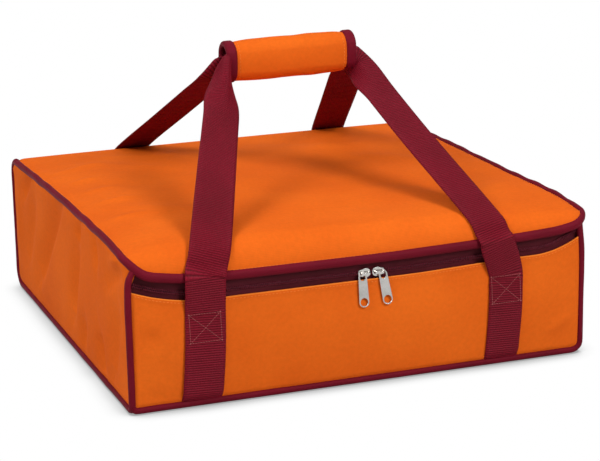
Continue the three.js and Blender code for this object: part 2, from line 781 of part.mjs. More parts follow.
function addGrip() {
  const place = (geometry) => geometry.translate(0, gripY, gripZ);
  const padLeft = gripLeft + bindingLength + gap;
  const padRight = gripRight - bindingLength - gap;
  const hookInner = gripRadius + gap;
  const loopInner = hookInner + closureThickness + closurePile;
  const tongueInner = loopInner + closureThickness + gap;
  const tongueEnd = gripSeam - tongueReach;
  const stripFrom = tongueEnd + closureMargin;
  const stripTo = stripFrom + closureReach;
  const addLength = (name, points, x0, x1, finish) => {
    add(name, place(extrudeX(shapeOf(points), x0, x1)), finish);
  };

  addLength('grip_front_pad', halfWrap(true), padLeft, padRight, orangeCloth);
  const hook = closureBand(stripFrom, stripTo, hookInner, closureThickness);
  const loop = closureBand(stripFrom, stripTo, loopInner, closureThickness);
  addLength('grip_hook_strip', hook, padLeft, padRight, darkTape);
  addLength('flap_loop_strip', loop, padLeft, padRight, darkTape);

  const flapShape = shapeOf(halfWrap(false));
  const heelEnd = gripSeam + 3 * tongueHeel;
  const heelInner = gripRadius - padThickness / 2;
  const heelDepth = tongueInner + tongueThickness / 2 - heelInner;
  const tongue = shapeOf(closureBand(tongueEnd, heelEnd, tongueInner, tongueThickness));
  const root = shapeOf(closureBand(gripSeam + tongueHeel, heelEnd, heelInner, heelDepth));
  const flap = join(...[flapShape, tongue, root].map((shape) => extrudeX(shape, padLeft, padRight)));
  add('grip_flap', place(flap), orangeCloth);

  for (const [side, x0, x1] of [['left', gripLeft, padLeft - gap], ['right', padRight + gap, gripRight]]) {
    addLength(`grip_${side}_binding`, halfWrap(true, bindingProud), x0, x1, maroonBinding);
    addLength(`flap_${side}_binding`, halfWrap(false, bindingProud), x0, x1, maroonBinding);
  }

  // Inside the grip each webbing is folded double along its length
  const outer = gripRadius - padThickness - gripMargin;
  const inner = outer - 2 * webThickness;
  const half = webWidth / 4;
  const run = (y0, y1) => block(gripLeft, gripRight, gripY + y0, gripY + y1, gripZ - half, gripZ + half);
  add('front_grip_webbing', run(-outer, -inner), maroonWeb);
  add('rear_grip_webbing', run(inner, outer), maroonWeb);
}

addShell();
addPiping();
addLayers();
addLid();
addZip();
addSliders();
addWebbing();
addGrip();

export default group;
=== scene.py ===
# Pizza delivery bag: the looks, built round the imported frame. Metres, +Z up, the zipped front faces -Y
import json
import math

import bmesh
import bpy
import numpy as np
from mathutils import Matrix, Vector


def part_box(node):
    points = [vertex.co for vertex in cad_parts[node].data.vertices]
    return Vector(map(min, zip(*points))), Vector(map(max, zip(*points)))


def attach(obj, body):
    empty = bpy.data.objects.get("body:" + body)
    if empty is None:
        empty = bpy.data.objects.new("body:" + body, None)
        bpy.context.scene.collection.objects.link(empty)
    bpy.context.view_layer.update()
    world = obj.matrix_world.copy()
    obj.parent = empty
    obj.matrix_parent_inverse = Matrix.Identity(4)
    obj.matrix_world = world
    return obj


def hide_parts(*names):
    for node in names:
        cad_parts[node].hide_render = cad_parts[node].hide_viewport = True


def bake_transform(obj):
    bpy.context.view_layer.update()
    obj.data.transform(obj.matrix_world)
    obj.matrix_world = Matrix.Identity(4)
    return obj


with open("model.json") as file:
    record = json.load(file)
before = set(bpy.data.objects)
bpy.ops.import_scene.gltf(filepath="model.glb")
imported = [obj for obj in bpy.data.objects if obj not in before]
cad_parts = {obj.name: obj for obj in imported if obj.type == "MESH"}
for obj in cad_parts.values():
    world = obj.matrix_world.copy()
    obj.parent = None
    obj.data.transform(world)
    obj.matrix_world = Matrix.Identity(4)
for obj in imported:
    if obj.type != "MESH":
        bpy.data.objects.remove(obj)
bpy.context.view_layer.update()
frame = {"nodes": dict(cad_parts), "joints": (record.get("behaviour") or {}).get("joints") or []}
scene = bpy.context.scene
scene.view_settings.view_transform = "Standard"
print("frame loaded")


# Places that the frame gives

def nodeBox(node):
    low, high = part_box(node)
    return np.array(low), np.array(high)


def nodeMiddle(node):
    low, high = nodeBox(node)
    return (low + high) / 2


joints = {joint["name"]: joint for joint in frame["joints"]}
hingeY = joints["lid_lift"]["pos_m"][1]
frontY = nodeBox("front_panel")[0][1]
backY = nodeBox("back_panel")[1][1]
sideX = nodeBox("right_end_panel")[1][0]
rearZ = nodeBox("back_panel")[1][2]
sag = 0.006  # the rear fold of the lid below its front
lidZ = rearZ + sag
pipeLow, pipeHigh = nodeBox("front_bottom_piping")
pipeRadius = (pipeHigh[2] - pipeLow[2]) / 2
pipeFrontY, pipeZ = nodeMiddle("front_bottom_piping")[1:]
pipeX = nodeBox("right_end_piping")[1][0] - pipeRadius
pipeBackY = nodeBox("right_end_piping")[1][1] - pipeRadius
zipY = nodeMiddle("lower_zip_coil")[1]
zipZ = (nodeBox("lower_zip_coil")[1][2] + nodeBox("upper_zip_coil")[0][2]) / 2
foldRadius = nodeBox("back_foam")[0][2]  # the foam starts where the rear fold ends
gripLow = nodeBox("grip_left_binding")[0]
gripHigh = nodeBox("flap_right_binding")[1]
gripMid = nodeMiddle("front_grip_webbing")
gripY = joints["grip_flap_open"]["pos_m"][1]

trim = {
    "frontHalf": (0.0044, 0.0036),  # half height and half depth along the front
    "sideHalf": (0.0034, 0.0033),
    "corner": 0.018,
    "soften": 0.005,
    "heights": {  # run past the start of the corner, then the trim's middle above the zip
        -1: [(-0.413, 0.0340), (-0.358, 0.0356), (-0.269, 0.0386), (-0.188, 0.0403), (-0.112, 0.0408),
             (-0.042, 0.0399), (-0.008, 0.0385), (0.008, 0.0362), (0.014, 0.0318), (0.020, 0.0262),
             (0.028, 0.0208), (0.057, 0.0160), (0.110, 0.0135), (0.236, 0.0131)],
        1: [(-0.413, 0.0340), (-0.308, 0.0366), (-0.206, 0.0368), (-0.113, 0.0364), (-0.068, 0.0358),
            (-0.026, 0.0337), (0.005, 0.0305), (0.014, 0.0260), (0.022, 0.0228), (0.028, 0.0210),
            (0.043, 0.0183), (0.075, 0.0166), (0.127, 0.0148), (0.199, 0.0133), (0.236, 0.0131)],
    },
    "waver": (0.0012, 0.035, 0.03),  # height, length and ease of the gathers along the sides
    "sideRun": 0.41,  # from the corner back to the hinge
    "pastHinge": 0.0005,
    "steps": (60, 24, 80),  # along the side, round the corner and along the front
    "nose": 0.0050,  # the lid's right front corner stands out
    "noseFrom": (0.13, -0.06),  # x and y where that starts
    "noseReach": (0.09, 0.13),
}
trimX = nodeBox("lid_trim")[1][0] - trim["sideHalf"][0]
trimY = nodeBox("lid_trim")[0][1] + trim["sideHalf"][0]
trimZ = zipZ + trim["heights"][-1][-1][1]
rearTrimZ = zipZ + trim["heights"][-1][0][1]
cornerX = trimX - trim["corner"]
cornerY = trimY + trim["corner"]

lid = {
    "tuck": 0.0022,  # cloth above the middle of the side trim
    "tuckReach": 0.010,
    "rearDome": 0.0008,
    "dome": 0.0050,
    "domeReach": 0.12,  # from the hinge to the full dome
    "roll": 0.025,
    "leastRoll": 0.005,
    "rollHeight": 0.027,  # an edge this far below the top takes the full roll
    "liftFrom": (0.126, 0.119),
    "liftTo": 0.02,
}
zipLine = {  # bends up at both ends, and its right half climbs gently
    "panelBelow": 0.007,  # front panel's edge below the zip
    "leftBend": {"from": 0.150, "length": 0.056, "rise": 0.0088, "most": 1.25},
    "rightBend": {"from": 0.172, "length": 0.042, "rise": 0.010, "most": 1.15},
    "climb": {"from": 0.04, "length": 0.13, "rise": 0.0034},
}


# Small helpers

def smooth(t):
    t = np.clip(t, 0.0, 1.0)
    return t * t * (3 - 2 * t)


def linearColour(hexColour):
    parts = [(hexColour >> shift & 255) / 255 for shift in (16, 8, 0)]
    return tuple(((c + 0.055) / 1.055) ** 2.4 if c > 0.04045 else c / 12.92 for c in parts) + (1.0,)


def ripple(u, v, seed, wave, count=7):
    draw = np.random.default_rng(seed)
    total = np.zeros_like(u)
    for _ in range(count):
        angle = draw.uniform(0, math.pi)
        k = 2 * math.pi / (wave * draw.uniform(0.6, 1.6))
        phase = draw.uniform(0, 2 * math.pi)
        total += np.sin(k * (u * math.cos(angle) + v * math.sin(angle)) + phase)
    return total / count


def ripples(u, v, layers):
    return sum(height * ripple(u, v, seed, wave) for height, seed, wave in layers)


def creased(u, v, creases):
    total = np.zeros_like(u)
    for (u0, v0), (u1, v1), width, height in creases:
        du, dv = u1 - u0, v1 - v0
        t = np.clip(((u - u0) * du + (v - v0) * dv) / (du * du + dv * dv), 0, 1)
        away = np.hypot(u - u0 - t * du, v - v0 - t * dv)
        left, right = np.broadcast_to(width, 2)  # a pair of widths makes one side of the fold steeper
        reach = np.where(du * (v - v0) > dv * (u - u0), left, right)
        total += height * np.exp(-(away / reach) ** 2) * np.sqrt(np.sin(math.pi * np.clip(t, 0.03, 0.97)))
    return total


def pillow(u, v, power=6):
    return (1 - np.abs(2 * u - 1) ** power) * (1 - np.abs(2 * v - 1) ** power)


def spread(start, stop, count, ends=0.0):
    t = np.linspace(0, 1, count)
    eased = 0.5 - 0.5 * np.cos(math.pi * t)
    return start + (stop - start) * ((1 - ends) * t + ends * eased)  # ends above 0 crowds both ends


def along(points):
    steps = np.linalg.norm(np.diff(points, axis=0), axis=1)
    return np.concatenate([[0], np.cumsum(steps)])


def resample(points, step):
    points = np.asarray(points, float)
    run = along(points)
    count = max(2, int(round(run[-1] / step)) + 1)
    want = np.linspace(0, run[-1], count)
    return np.stack([np.interp(want, run, points[:, i]) for i in range(3)], axis=1)


def splinePath(points, perSpan=24):
    points = np.asarray(points, float)
    ends = np.vstack([2 * points[0] - points[1], points, 2 * points[-1] - points[-2]])
    path = []
    for i in range(1, len(ends) - 2):
        p = ends[i - 1:i + 3]
        spans = np.sqrt(np.linalg.norm(np.diff(p, axis=0), axis=1)) + 1e-9
        knots = np.concatenate([[0], np.cumsum(spans)])
        t = np.linspace(knots[1], knots[2], perSpan, endpoint=False)[:, None]

        def mix(a, b, k0, k1):
            return (k1 - t) / (k1 - k0) * a + (t - k0) / (k1 - k0) * b

        a1, a2, a3 = (mix(p[j], p[j + 1], knots[j], knots[j + 1]) for j in range(3))
        b1, b2 = mix(a1, a2, knots[0], knots[2]), mix(a2, a3, knots[1], knots[3])
        path.append(mix(b1, b2, knots[1], knots[2]))
    return np.vstack(path + [points[-1:]])


def arcPoints(centre, radius, span, count):
    angle = np.radians(np.linspace(span[0], span[1], count))
    return np.stack([centre[0] + radius * np.cos(angle), centre[1] + radius * np.sin(angle)], axis=1)


def unit(vectors):
    return vectors / np.maximum(np.linalg.norm(vectors, axis=-1, keepdims=True), 1e-12)


def addObject(name, data):
    thing = bpy.data.objects.new(name, data)
    scene.collection.objects.link(thing)
    return thing


def newPiece(name, verts, faces, material, uvs=None, normals=None):
    mesh = bpy.data.meshes.new(name)
    mesh.from_pydata(np.asarray(verts, float).tolist(), [], faces)
    if uvs is not None:
        layer = mesh.uv_layers.new(name="cloth")
        layer.data.foreach_set("uv", np.asarray(uvs, np.float32).ravel())
    mesh.polygons.foreach_set("use_smooth", [True] * len(mesh.polygons))
    if normals is not None:
        mesh.normals_split_custom_set_from_vertices(np.asarray(normals, float).tolist())
    mesh.materials.append(material)
    return addObject(name, mesh)


def gridQuads(rows, cols, start=0, flip=False):
    r, c = np.meshgrid(np.arange(rows - 1), np.arange(cols - 1), indexing="ij")
    a = (start + r * cols + c).ravel()
    quads = np.stack([a, a + 1, a + cols + 1, a + cols], axis=1)
    return quads[:, ::-1] if flip else quads


def gridNormals(grid):
    du = np.gradient(grid, axis=1)
    dv = np.gradient(grid, axis=0)
    return unit(np.cross(du, dv))


def gridLengths(grid):
    acrossRun = np.linalg.norm(np.diff(grid, axis=1), axis=2).mean(axis=0)
    upRun = np.linalg.norm(np.diff(grid, axis=0), axis=2).mean(axis=1)
    u = np.concatenate([[0], np.cumsum(acrossRun)])
    v = np.concatenate([[0], np.cumsum(upRun)])
    return np.meshgrid(u, v)


# A closed cloth panel: the grid is its outer face, columns to the right and rows up as seen from outside
def clothPanel(name, grid, thickness, material, normals=None, uv=None):
    rows, cols = grid.shape[:2]
    outward = gridNormals(grid) if normals is None else normals
    inner = grid - outward * thickness
    verts = np.vstack([grid.reshape(-1, 3), inner.reshape(-1, 3)])
    count = rows * cols
    faces = [gridQuads(rows, cols), gridQuads(rows, cols, count, True)]
    index = np.arange(count).reshape(rows, cols)
    edge = np.concatenate([index[0, :-1], index[:-1, -1], index[-1, :0:-1], index[:0:-1, 0]])
    after = np.roll(edge, -1)
    faces.append(np.stack([edge, edge + count, after + count, after], axis=1))
    faces = np.vstack(faces)
    u, v = gridLengths(grid) if uv is None else uv
    flat = np.stack([u.ravel(), v.ravel()], axis=1)
    uvs = np.vstack([flat, flat])[faces.ravel()]
    turned = np.vstack([outward.reshape(-1, 3), -outward.reshape(-1, 3)])
    return newPiece(name, verts, faces.tolist(), material, uvs, turned)


# A closed tube through rings of points: u runs round each ring and v along the tube
def tubePiece(name, rings, u, v, caps, material):
    count, sides = rings.shape[:2]
    r, c = np.meshgrid(np.arange(count - 1), np.arange(sides), indexing="ij")
    r, c = r.ravel(), c.ravel()
    a, b = r * sides + c, r * sides + (c + 1) % sides
    quads = np.stack([a, b, b + sides, a + sides], axis=1).tolist()
    uvs = np.stack([u[c], v[r], u[c + 1], v[r], u[c + 1], v[r + 1], u[c], v[r + 1]], axis=1)
    capUvs = np.zeros((sum(len(cap) for cap in caps), 2))
    uvs = np.vstack([uvs.reshape(-1, 2), capUvs])
    piece = newPiece(name, rings.reshape(-1, 3), quads + caps, material, uvs)
    faceOut(piece)
    return piece


def endCaps(count, sides):
    return [list(range(sides))[::-1], list(range((count - 1) * sides, count * sides))]


# A tube of oval section along a path
def tubeAlong(name, path, halfUp, halfAcross, material, across=None, sides=14):
    path = np.asarray(path, float)
    forward = unit(np.gradient(path, axis=0))
    if across is None:
        across = unit(np.cross(forward, [0, 0, 1.0]))
    up = unit(np.cross(across, forward))
    angle = np.linspace(0, 2 * math.pi, sides, endpoint=False)
    halfUp = np.broadcast_to(halfUp, len(path))[:, None, None]
    halfAcross = np.broadcast_to(halfAcross, len(path))[:, None, None]
    rings = np.cos(angle)[None, :, None] * across[:, None] * halfAcross
    rings = path[:, None] + rings + np.sin(angle)[None, :, None] * up[:, None] * halfUp
    girth = 2 * math.pi * float(np.mean(halfUp))
    u = np.arange(sides + 1) / sides * girth
    return tubePiece(name, rings, u, along(path), endCaps(len(path), sides), material)


def faceOut(piece):
    shape = bmesh.new()
    shape.from_mesh(piece.data)
    bmesh.ops.recalc_face_normals(shape, faces=shape.faces)
    for face in shape.faces:
        if len(face.verts) > 4:  # an end cap keeps a crisp rim
            for edge in face.edges:
                edge.smooth = False
    shape.to_mesh(piece.data)
    shape.free()


def mergeDoubles(mesh, flatAngle=None, outward=True):
    shape = bmesh.new()
    shape.from_mesh(mesh)
    bmesh.ops.remove_doubles(shape, verts=shape.verts, dist=1e-6)
    if flatAngle is not None:
        bmesh.ops.dissolve_limit(shape, angle_limit=flatAngle, verts=shape.verts, edges=shape.edges)
    if outward:
        bmesh.ops.recalc_face_normals(shape, faces=shape.faces)
    shape.to_mesh(mesh)
    shape.free()


# The finished shape of an object as a plain mesh; the object itself goes
def madeMesh(maker, name):
    bpy.context.view_layer.update()
    mesh = bpy.data.meshes.new_from_object(maker.evaluated_get(bpy.context.evaluated_depsgraph_get()))
    bpy.data.objects.remove(maker)
    mesh.name = name
    return mesh


# Finishes

def principled(name, colour, roughness, metallic=0.0, sheen=0.0, gloss=0.13):
    material = bpy.data.materials.new(name)
    material.use_nodes = True
    shader = material.node_tree.nodes["Principled BSDF"]
    shader.inputs["Base Color"].default_value = linearColour(colour)
    shader.inputs["Roughness"].default_value = roughness
    shader.inputs["Metallic"].default_value = metallic
    shader.inputs["Sheen Weight"].default_value = sheen
    shader.inputs["Sheen Roughness"].default_value = 0.45
    shader.inputs["Specular IOR Level"].default_value = 0.5 if metallic else gloss
    return material, shader


def addNode(material, kind, **settings):
    node = material.node_tree.nodes.new(kind)
    for key, value in settings.items():
        setattr(node, key, value)
    return node


def wire(material, source, target):
    material.node_tree.links.new(source, target)


def calc(material, operation, first, second):
    node = addNode(material, "ShaderNodeMath", operation=operation)
    for socket, value in zip(node.inputs, (first, second)):
        if isinstance(value, (int, float)):
            socket.default_value = value
        else:
            wire(material, value, socket)
    return node.outputs[0]


def waves(material, coords, direction, pitch, distortion=0.0):
    node = addNode(material, "ShaderNodeTexWave", wave_type="BANDS", bands_direction=direction)
    node.inputs["Scale"].default_value = 2 * math.pi / (20 * pitch)
    node.inputs["Distortion"].default_value = distortion
    wire(material, coords, node.inputs["Vector"])
    return node.outputs["Fac"]


def noise(material, coords, scale, detail=2.0, rough=0.5):
    node = addNode(material, "ShaderNodeTexNoise")
    node.inputs["Scale"].default_value = scale
    node.inputs["Detail"].default_value = detail
    node.inputs["Roughness"].default_value = rough
    wire(material, coords, node.inputs["Vector"])
    return node.outputs["Fac"]


def shades(material, factor, dark, light, low=0.3, high=0.7):
    ramp = addNode(material, "ShaderNodeValToRGB")
    ramp.color_ramp.elements[0].position = low
    ramp.color_ramp.elements[1].position = high
    ramp.color_ramp.elements[0].color = linearColour(dark)
    ramp.color_ramp.elements[1].color = linearColour(light)
    wire(material, factor, ramp.inputs["Fac"])
    return ramp.outputs["Color"]


def multiplied(material, factor, first, second):
    node = addNode(material, "ShaderNodeMix", data_type="RGBA", blend_type="MULTIPLY")
    node.inputs[0].default_value = factor
    wire(material, first, node.inputs[6])
    wire(material, second, node.inputs[7])
    return node.outputs[2]


def bumped(material, shader, height, strength, distance):
    node = addNode(material, "ShaderNodeBump")
    node.inputs["Strength"].default_value = strength
    node.inputs["Distance"].default_value = distance
    wire(material, height, node.inputs["Height"])
    wire(material, node.outputs["Normal"], shader.inputs["Normal"])


# Woven cloth: two sets of yarns on the piece's own UV map, with soft clouds of darker and lighter tone; the
# colour darkens in the gaps between yarns, a painted shade
weaving = {
    "waviness": 0.3,
    "grainShades": (0x808080, 0xFFFFFF),
    "yarnTop": 0xFFFFFF,
    "yarnRange": (0.05, 0.75),
    "roughRange": 0.12,
}


def wovenFinish(name, look):
    material, shader = principled(name, look["light"], look["roughness"], gloss=look["gloss"])
    coords = addNode(material, "ShaderNodeTexCoord")
    warp = waves(material, coords.outputs["UV"], "X", look["warp"], weaving["waviness"])
    weft = waves(material, coords.outputs["UV"], "Y", look["weft"], weaving["waviness"])
    crossed = calc(material, "MULTIPLY_ADD", warp, look["warpShare"])
    crossed.node.inputs[2].default_value = 1 - look["warpShare"]
    weave = calc(material, "MULTIPLY", crossed, weft)
    fibres = noise(material, coords.outputs["UV"], look["fibreScale"], 3.0)
    height = calc(material, "ADD", weave, calc(material, "MULTIPLY", fibres, look["fibre"]))
    clouds = noise(material, coords.outputs["Object"], look["cloudScale"], 4.0, 0.55)
    base = shades(material, clouds, look["dark"], look["light"])
    grain = noise(material, coords.outputs["UV"], look["grainScale"], 2.0, 0.6)
    base = multiplied(material, look["grain"], base, shades(material, grain, *weaving["grainShades"]))
    # Colour darkens toward gapShade where the weave is low: painted shade in the hollows between yarns and
    # ribs
    yarn = shades(material, height, look["gapShade"], weaving["yarnTop"], *weaving["yarnRange"])
    wire(material, multiplied(material, look["yarnShare"], base, yarn), shader.inputs["Base Color"])
    rough = calc(material, "MULTIPLY_ADD", fibres, weaving["roughRange"])
    rough.node.inputs[2].default_value = look["roughness"] - weaving["roughRange"] / 2
    wire(material, rough, shader.inputs["Roughness"])
    bumped(material, shader, height, look["bump"], look["depth"])
    return material


def metalFinish(name, look):
    material, shader = principled(name, look["colour"], look["roughness"], 1.0)
    coords = addNode(material, "ShaderNodeTexCoord")
    scuffs = noise(material, coords.outputs["Object"], look["scuffScale"], 4.0, 0.6)
    wire(material, shades(material, scuffs, look["dull"], look["colour"]), shader.inputs["Base Color"])
    rough = calc(material, "MULTIPLY_ADD", scuffs, look["roughRange"])
    rough.node.inputs[2].default_value = look["roughness"]
    wire(material, rough, shader.inputs["Roughness"])
    bumped(material, shader, scuffs, look["bump"], look["depth"])
    return material


def foilFinish(name, look):
    material, shader = principled(name, look["colour"], look["roughness"], look["metallic"])
    coords = addNode(material, "ShaderNodeTexCoord")
    crinkle = addNode(material, "ShaderNodeTexVoronoi", feature="DISTANCE_TO_EDGE")
    crinkle.inputs["Scale"].default_value = look["crinkleScale"]
    wire(material, coords.outputs["Object"], crinkle.inputs["Vector"])
    fine = noise(material, coords.outputs["Object"], look["fineScale"], 4.0)
    height = calc(material, "ADD", crinkle.outputs["Distance"], fine)
    wire(material, shades(material, fine, look["dull"], look["colour"]), shader.inputs["Base Color"])
    bumped(material, shader, height, look["bump"], look["depth"])
    return material


def plainFinish(name, look):
    material, shader = principled(name, look["light"], look["roughness"], sheen=look.get("sheen", 0.0))
    coords = addNode(material, "ShaderNodeTexCoord")
    fibres = noise(material, coords.outputs["Object"], look["fibreScale"], 3.0)
    wire(material, shades(material, fibres, look["dark"], look["light"]), shader.inputs["Base Color"])
    bumped(material, shader, fibres, look["bump"], look["depth"])
    return material


orangeCloth = wovenFinish("orangeCloth", {
    "light": 0xF4701C, "dark": 0xE96618, "gapShade": 0xC0A898, "yarnShare": 0.22,
    "warp": 0.0010, "weft": 0.0012, "warpShare": 1.0, "fibreScale": 900, "fibre": 0.5, "cloudScale": 12.0,
    "grainScale": 240, "grain": 0.09, "roughness": 0.78, "gloss": 0.06, "bump": 0.25, "depth": 0.0004})
# Strong colour contrast between the ribs: painted shade in the hollows, standing in for the lit and shaded
# sides of each rib
maroonWeb = wovenFinish("maroonWebbing", {
    "light": 0x90142B, "dark": 0x801125, "gapShade": 0x5C343E, "yarnShare": 0.9,
    "warp": 0.0024, "weft": 0.0022, "warpShare": 0.3, "fibreScale": 1200, "fibre": 0.6, "cloudScale": 14.0,
    "grainScale": 700, "grain": 0.45, "roughness": 0.55, "gloss": 0.10, "bump": 0.6, "depth": 0.0005})
maroonBinding = wovenFinish("maroonBinding", {
    "light": 0x7E1128, "dark": 0x6E0E21, "gapShade": 0x9A7078, "yarnShare": 0.4,
    "warp": 0.0008, "weft": 0.0008, "warpShare": 1.0, "fibreScale": 1400, "fibre": 0.4, "cloudScale": 20.0,
    "grainScale": 700, "grain": 0.15, "roughness": 0.6, "gloss": 0.08, "bump": 0.3, "depth": 0.0003})
zipTape = wovenFinish("zipTape", {
    "light": 0x66202B, "dark": 0x581922, "gapShade": 0x806070, "yarnShare": 0.5,
    "warp": 0.0009, "weft": 0.0011, "warpShare": 1.0, "fibreScale": 1400, "fibre": 0.4, "cloudScale": 25.0,
    "grainScale": 700, "grain": 0.3, "roughness": 0.75, "gloss": 0.13, "bump": 0.4, "depth": 0.0003})
# Zip teeth lighter than the tape: partly the nylon's own colour, partly a painted highlight along the coil
zipNylon = plainFinish("zipNylon", {
    "light": 0x7A2C3A, "dark": 0x60202C, "fibreScale": 500, "roughness": 0.42,
    "bump": 0.1, "depth": 0.0002})
# The hem's rolled edge is coloured lighter than the cloth: a painted highlight along the top of the front
# panel
highlightHemEdge = plainFinish("highlightHemEdge", {
    "light": 0xFF9034, "dark": 0xF57E22, "fibreScale": 700, "roughness": 0.7,
    "bump": 0.3, "depth": 0.0003})
# Stitch thread lighter than the cloth: partly the thread's own colour, partly a painted highlight along the
# edges it follows
orangeThread = plainFinish("orangeThread", {
    "light": 0xF68A3C, "dark": 0xEE7C2A, "fibreScale": 2500, "roughness": 0.6,
    "bump": 0.3, "depth": 0.0002})
roseThread = plainFinish("roseThread", {
    "light": 0xB86C6A, "dark": 0xA05452, "fibreScale": 2500, "roughness": 0.6,
    "bump": 0.3, "depth": 0.0002})
hookTape = plainFinish("hookTape", {
    "light": 0x46172A, "dark": 0x2E0D1A, "fibreScale": 1600, "roughness": 0.9, "sheen": 0.1,
    "bump": 0.8, "depth": 0.0006})
nickel = metalFinish("nickel", {
    "colour": 0xCBC8C4, "dull": 0xB6B3AE, "roughness": 0.18, "roughRange": 0.08, "scuffScale": 90,
    "bump": 0.08, "depth": 0.0001})
foil = foilFinish("foilLining", {
    "colour": 0xC9CCCF, "dull": 0xAEB2B6, "roughness": 0.34, "metallic": 0.85, "crinkleScale": 46,
    "fineScale": 120, "bump": 0.6, "depth": 0.002})
print("finishes made")


# Camera at the photograph's viewing angle, on a 600 pixel wide image
view = {"place": (-0.668, -1.876, 0.629), "azimuth": -20.16, "elevation": 15.14, "roll": -1.03,
        "focalPixels": 2028, "imageWidth": 600, "sensor": 36.0, "clipEnd": 50}


def addCamera():
    data = bpy.data.cameras.new("camera")
    data.sensor_width = view["sensor"]
    data.lens = view["focalPixels"] * view["sensor"] / view["imageWidth"]
    data.clip_end = view["clipEnd"]
    camera = addObject("camera", data)
    a, e, r = (math.radians(view[key]) for key in ("azimuth", "elevation", "roll"))
    back = Vector((math.sin(a) * math.cos(e), -math.cos(a) * math.cos(e), math.sin(e)))
    right = Vector((math.cos(a), math.sin(a), 0))
    up = back.cross(right)
    right, up = right * math.cos(r) + up * math.sin(r), up * math.cos(r) - right * math.sin(r)
    turn = Matrix((right, up, back)).transposed().to_4x4()
    camera.matrix_world = Matrix.Translation(view["place"]) @ turn
    scene.camera = camera


# Plain soft studio: area lamps, a grey world that the camera sees as white, and a pale floor whose glow
# carries a painted contact shadow
studio = {
    "aim": (0.0, 0.0, 0.1),
    "lamps": [  # place, size, watts
        ((1.2, -2.65, 2.4), 1.2, 78.0),
        ((-2.1, -0.5, 2.3), 1.2, 48.0),
        ((-0.2, 0.7, 2.9), 2.4, 13.0),
    ],
    "worldLight": 0.22,
    # what metal mirrors: height and grey
    "mirrored": [(0.0, 0.9), (0.54, 0.9), (0.57, 0.06), (0.64, 0.12), (0.76, 0.70), (1.0, 1.0)],
    "floorColour": 0xC4C4C3,
    "floorRoughness": 0.9,
    "floorHalf": 12.0,
    "floorDrop": 0.0004,  # below the base
    "contactReach": 0.03,  # how far from the bag its contact shadow goes
    "contact": [(0.30, 0.36), (0.50, 0.62), (0.675, 0.85), (0.76, 0.94), (0.90, 1.0)],  # openness, grey
}


def greyStops(ramp, pairs):
    stops = ramp.color_ramp.elements
    while len(stops) < len(pairs):
        stops.new(0.5)
    for stop, (place, grey) in zip(stops, pairs):
        stop.position = place
        stop.color = (grey, grey, grey, 1)


def addLamps():
    for i, (place, size, watts) in enumerate(studio["lamps"]):
        data = bpy.data.lights.new(f"lamp{i}", "AREA")
        data.energy = watts
        data.size = size
        lamp = addObject(f"lamp{i}", data)
        toward = Vector(studio["aim"]) - Vector(place)
        lamp.matrix_world = Matrix.Translation(place) @ toward.to_track_quat("-Z", "Y").to_matrix().to_4x4()


def addWorld():
    world = bpy.data.worlds.new("studio")
    scene.world = world
    world.use_nodes = True
    nodes, links = world.node_tree.nodes, world.node_tree.links
    light = nodes["Background"]
    light.inputs["Color"].default_value = (1, 1, 1, 1)
    light.inputs["Strength"].default_value = studio["worldLight"]
    seen = nodes.new("ShaderNodeBackground")
    seen.inputs["Color"].default_value = (1, 1, 1, 1)
    sky = nodes.new("ShaderNodeBackground")
    coords = nodes.new("ShaderNodeTexCoord")
    split = nodes.new("ShaderNodeSeparateXYZ")
    height = nodes.new("ShaderNodeMapRange")
    height.inputs["From Min"].default_value = -1
    ramp = nodes.new("ShaderNodeValToRGB")
    greyStops(ramp, studio["mirrored"])
    links.new(coords.outputs["Generated"], split.inputs[0])
    links.new(split.outputs["Z"], height.inputs["Value"])
    links.new(height.outputs["Result"], ramp.inputs["Fac"])
    links.new(ramp.outputs["Color"], sky.inputs["Color"])
    path = nodes.new("ShaderNodeLightPath")
    source = light
    for kind, other in (("Is Glossy Ray", sky), ("Is Camera Ray", seen)):
        mix = nodes.new("ShaderNodeMixShader")
        links.new(path.outputs[kind], mix.inputs[0])
        links.new(source.outputs[0], mix.inputs[1])
        links.new(other.outputs[0], mix.inputs[2])
        source = mix
    links.new(source.outputs[0], nodes["World Output"].inputs["Surface"])


def addFloor():
    material, shader = principled("paleFloor", studio["floorColour"], studio["floorRoughness"])
    openness = addNode(material, "ShaderNodeAmbientOcclusion", samples=32)
    openness.inputs["Distance"].default_value = studio["contactReach"]
    ramp = addNode(material, "ShaderNodeValToRGB")
    greyStops(ramp, studio["contact"])
    wire(material, openness.outputs["AO"], ramp.inputs["Fac"])
    # The floor glows for camera and glossy rays, in a grey that follows the ambient occlusion: a painted
    # contact shadow round the bag
    glow = addNode(material, "ShaderNodeEmission")
    wire(material, ramp.outputs["Color"], glow.inputs["Color"])
    path = addNode(material, "ShaderNodeLightPath")
    mix = addNode(material, "ShaderNodeMixShader")
    shown = calc(material, "MAXIMUM", path.outputs["Is Camera Ray"], path.outputs["Is Glossy Ray"])
    wire(material, shown, mix.inputs[0])
    wire(material, shader.outputs[0], mix.inputs[1])
    wire(material, glow.outputs[0], mix.inputs[2])
    wire(material, mix.outputs[0], material.node_tree.nodes["Material Output"].inputs["Surface"])
    half, z = studio["floorHalf"], -studio["floorDrop"]
    corners = [(-half, -half, z), (half, -half, z), (half, half, z), (-half, half, z)]
    floor = newPiece("floor", corners, [[0, 1, 2, 3]], material)


addCamera()
addLamps()
addWorld()
addFloor()
print("camera and studio set")


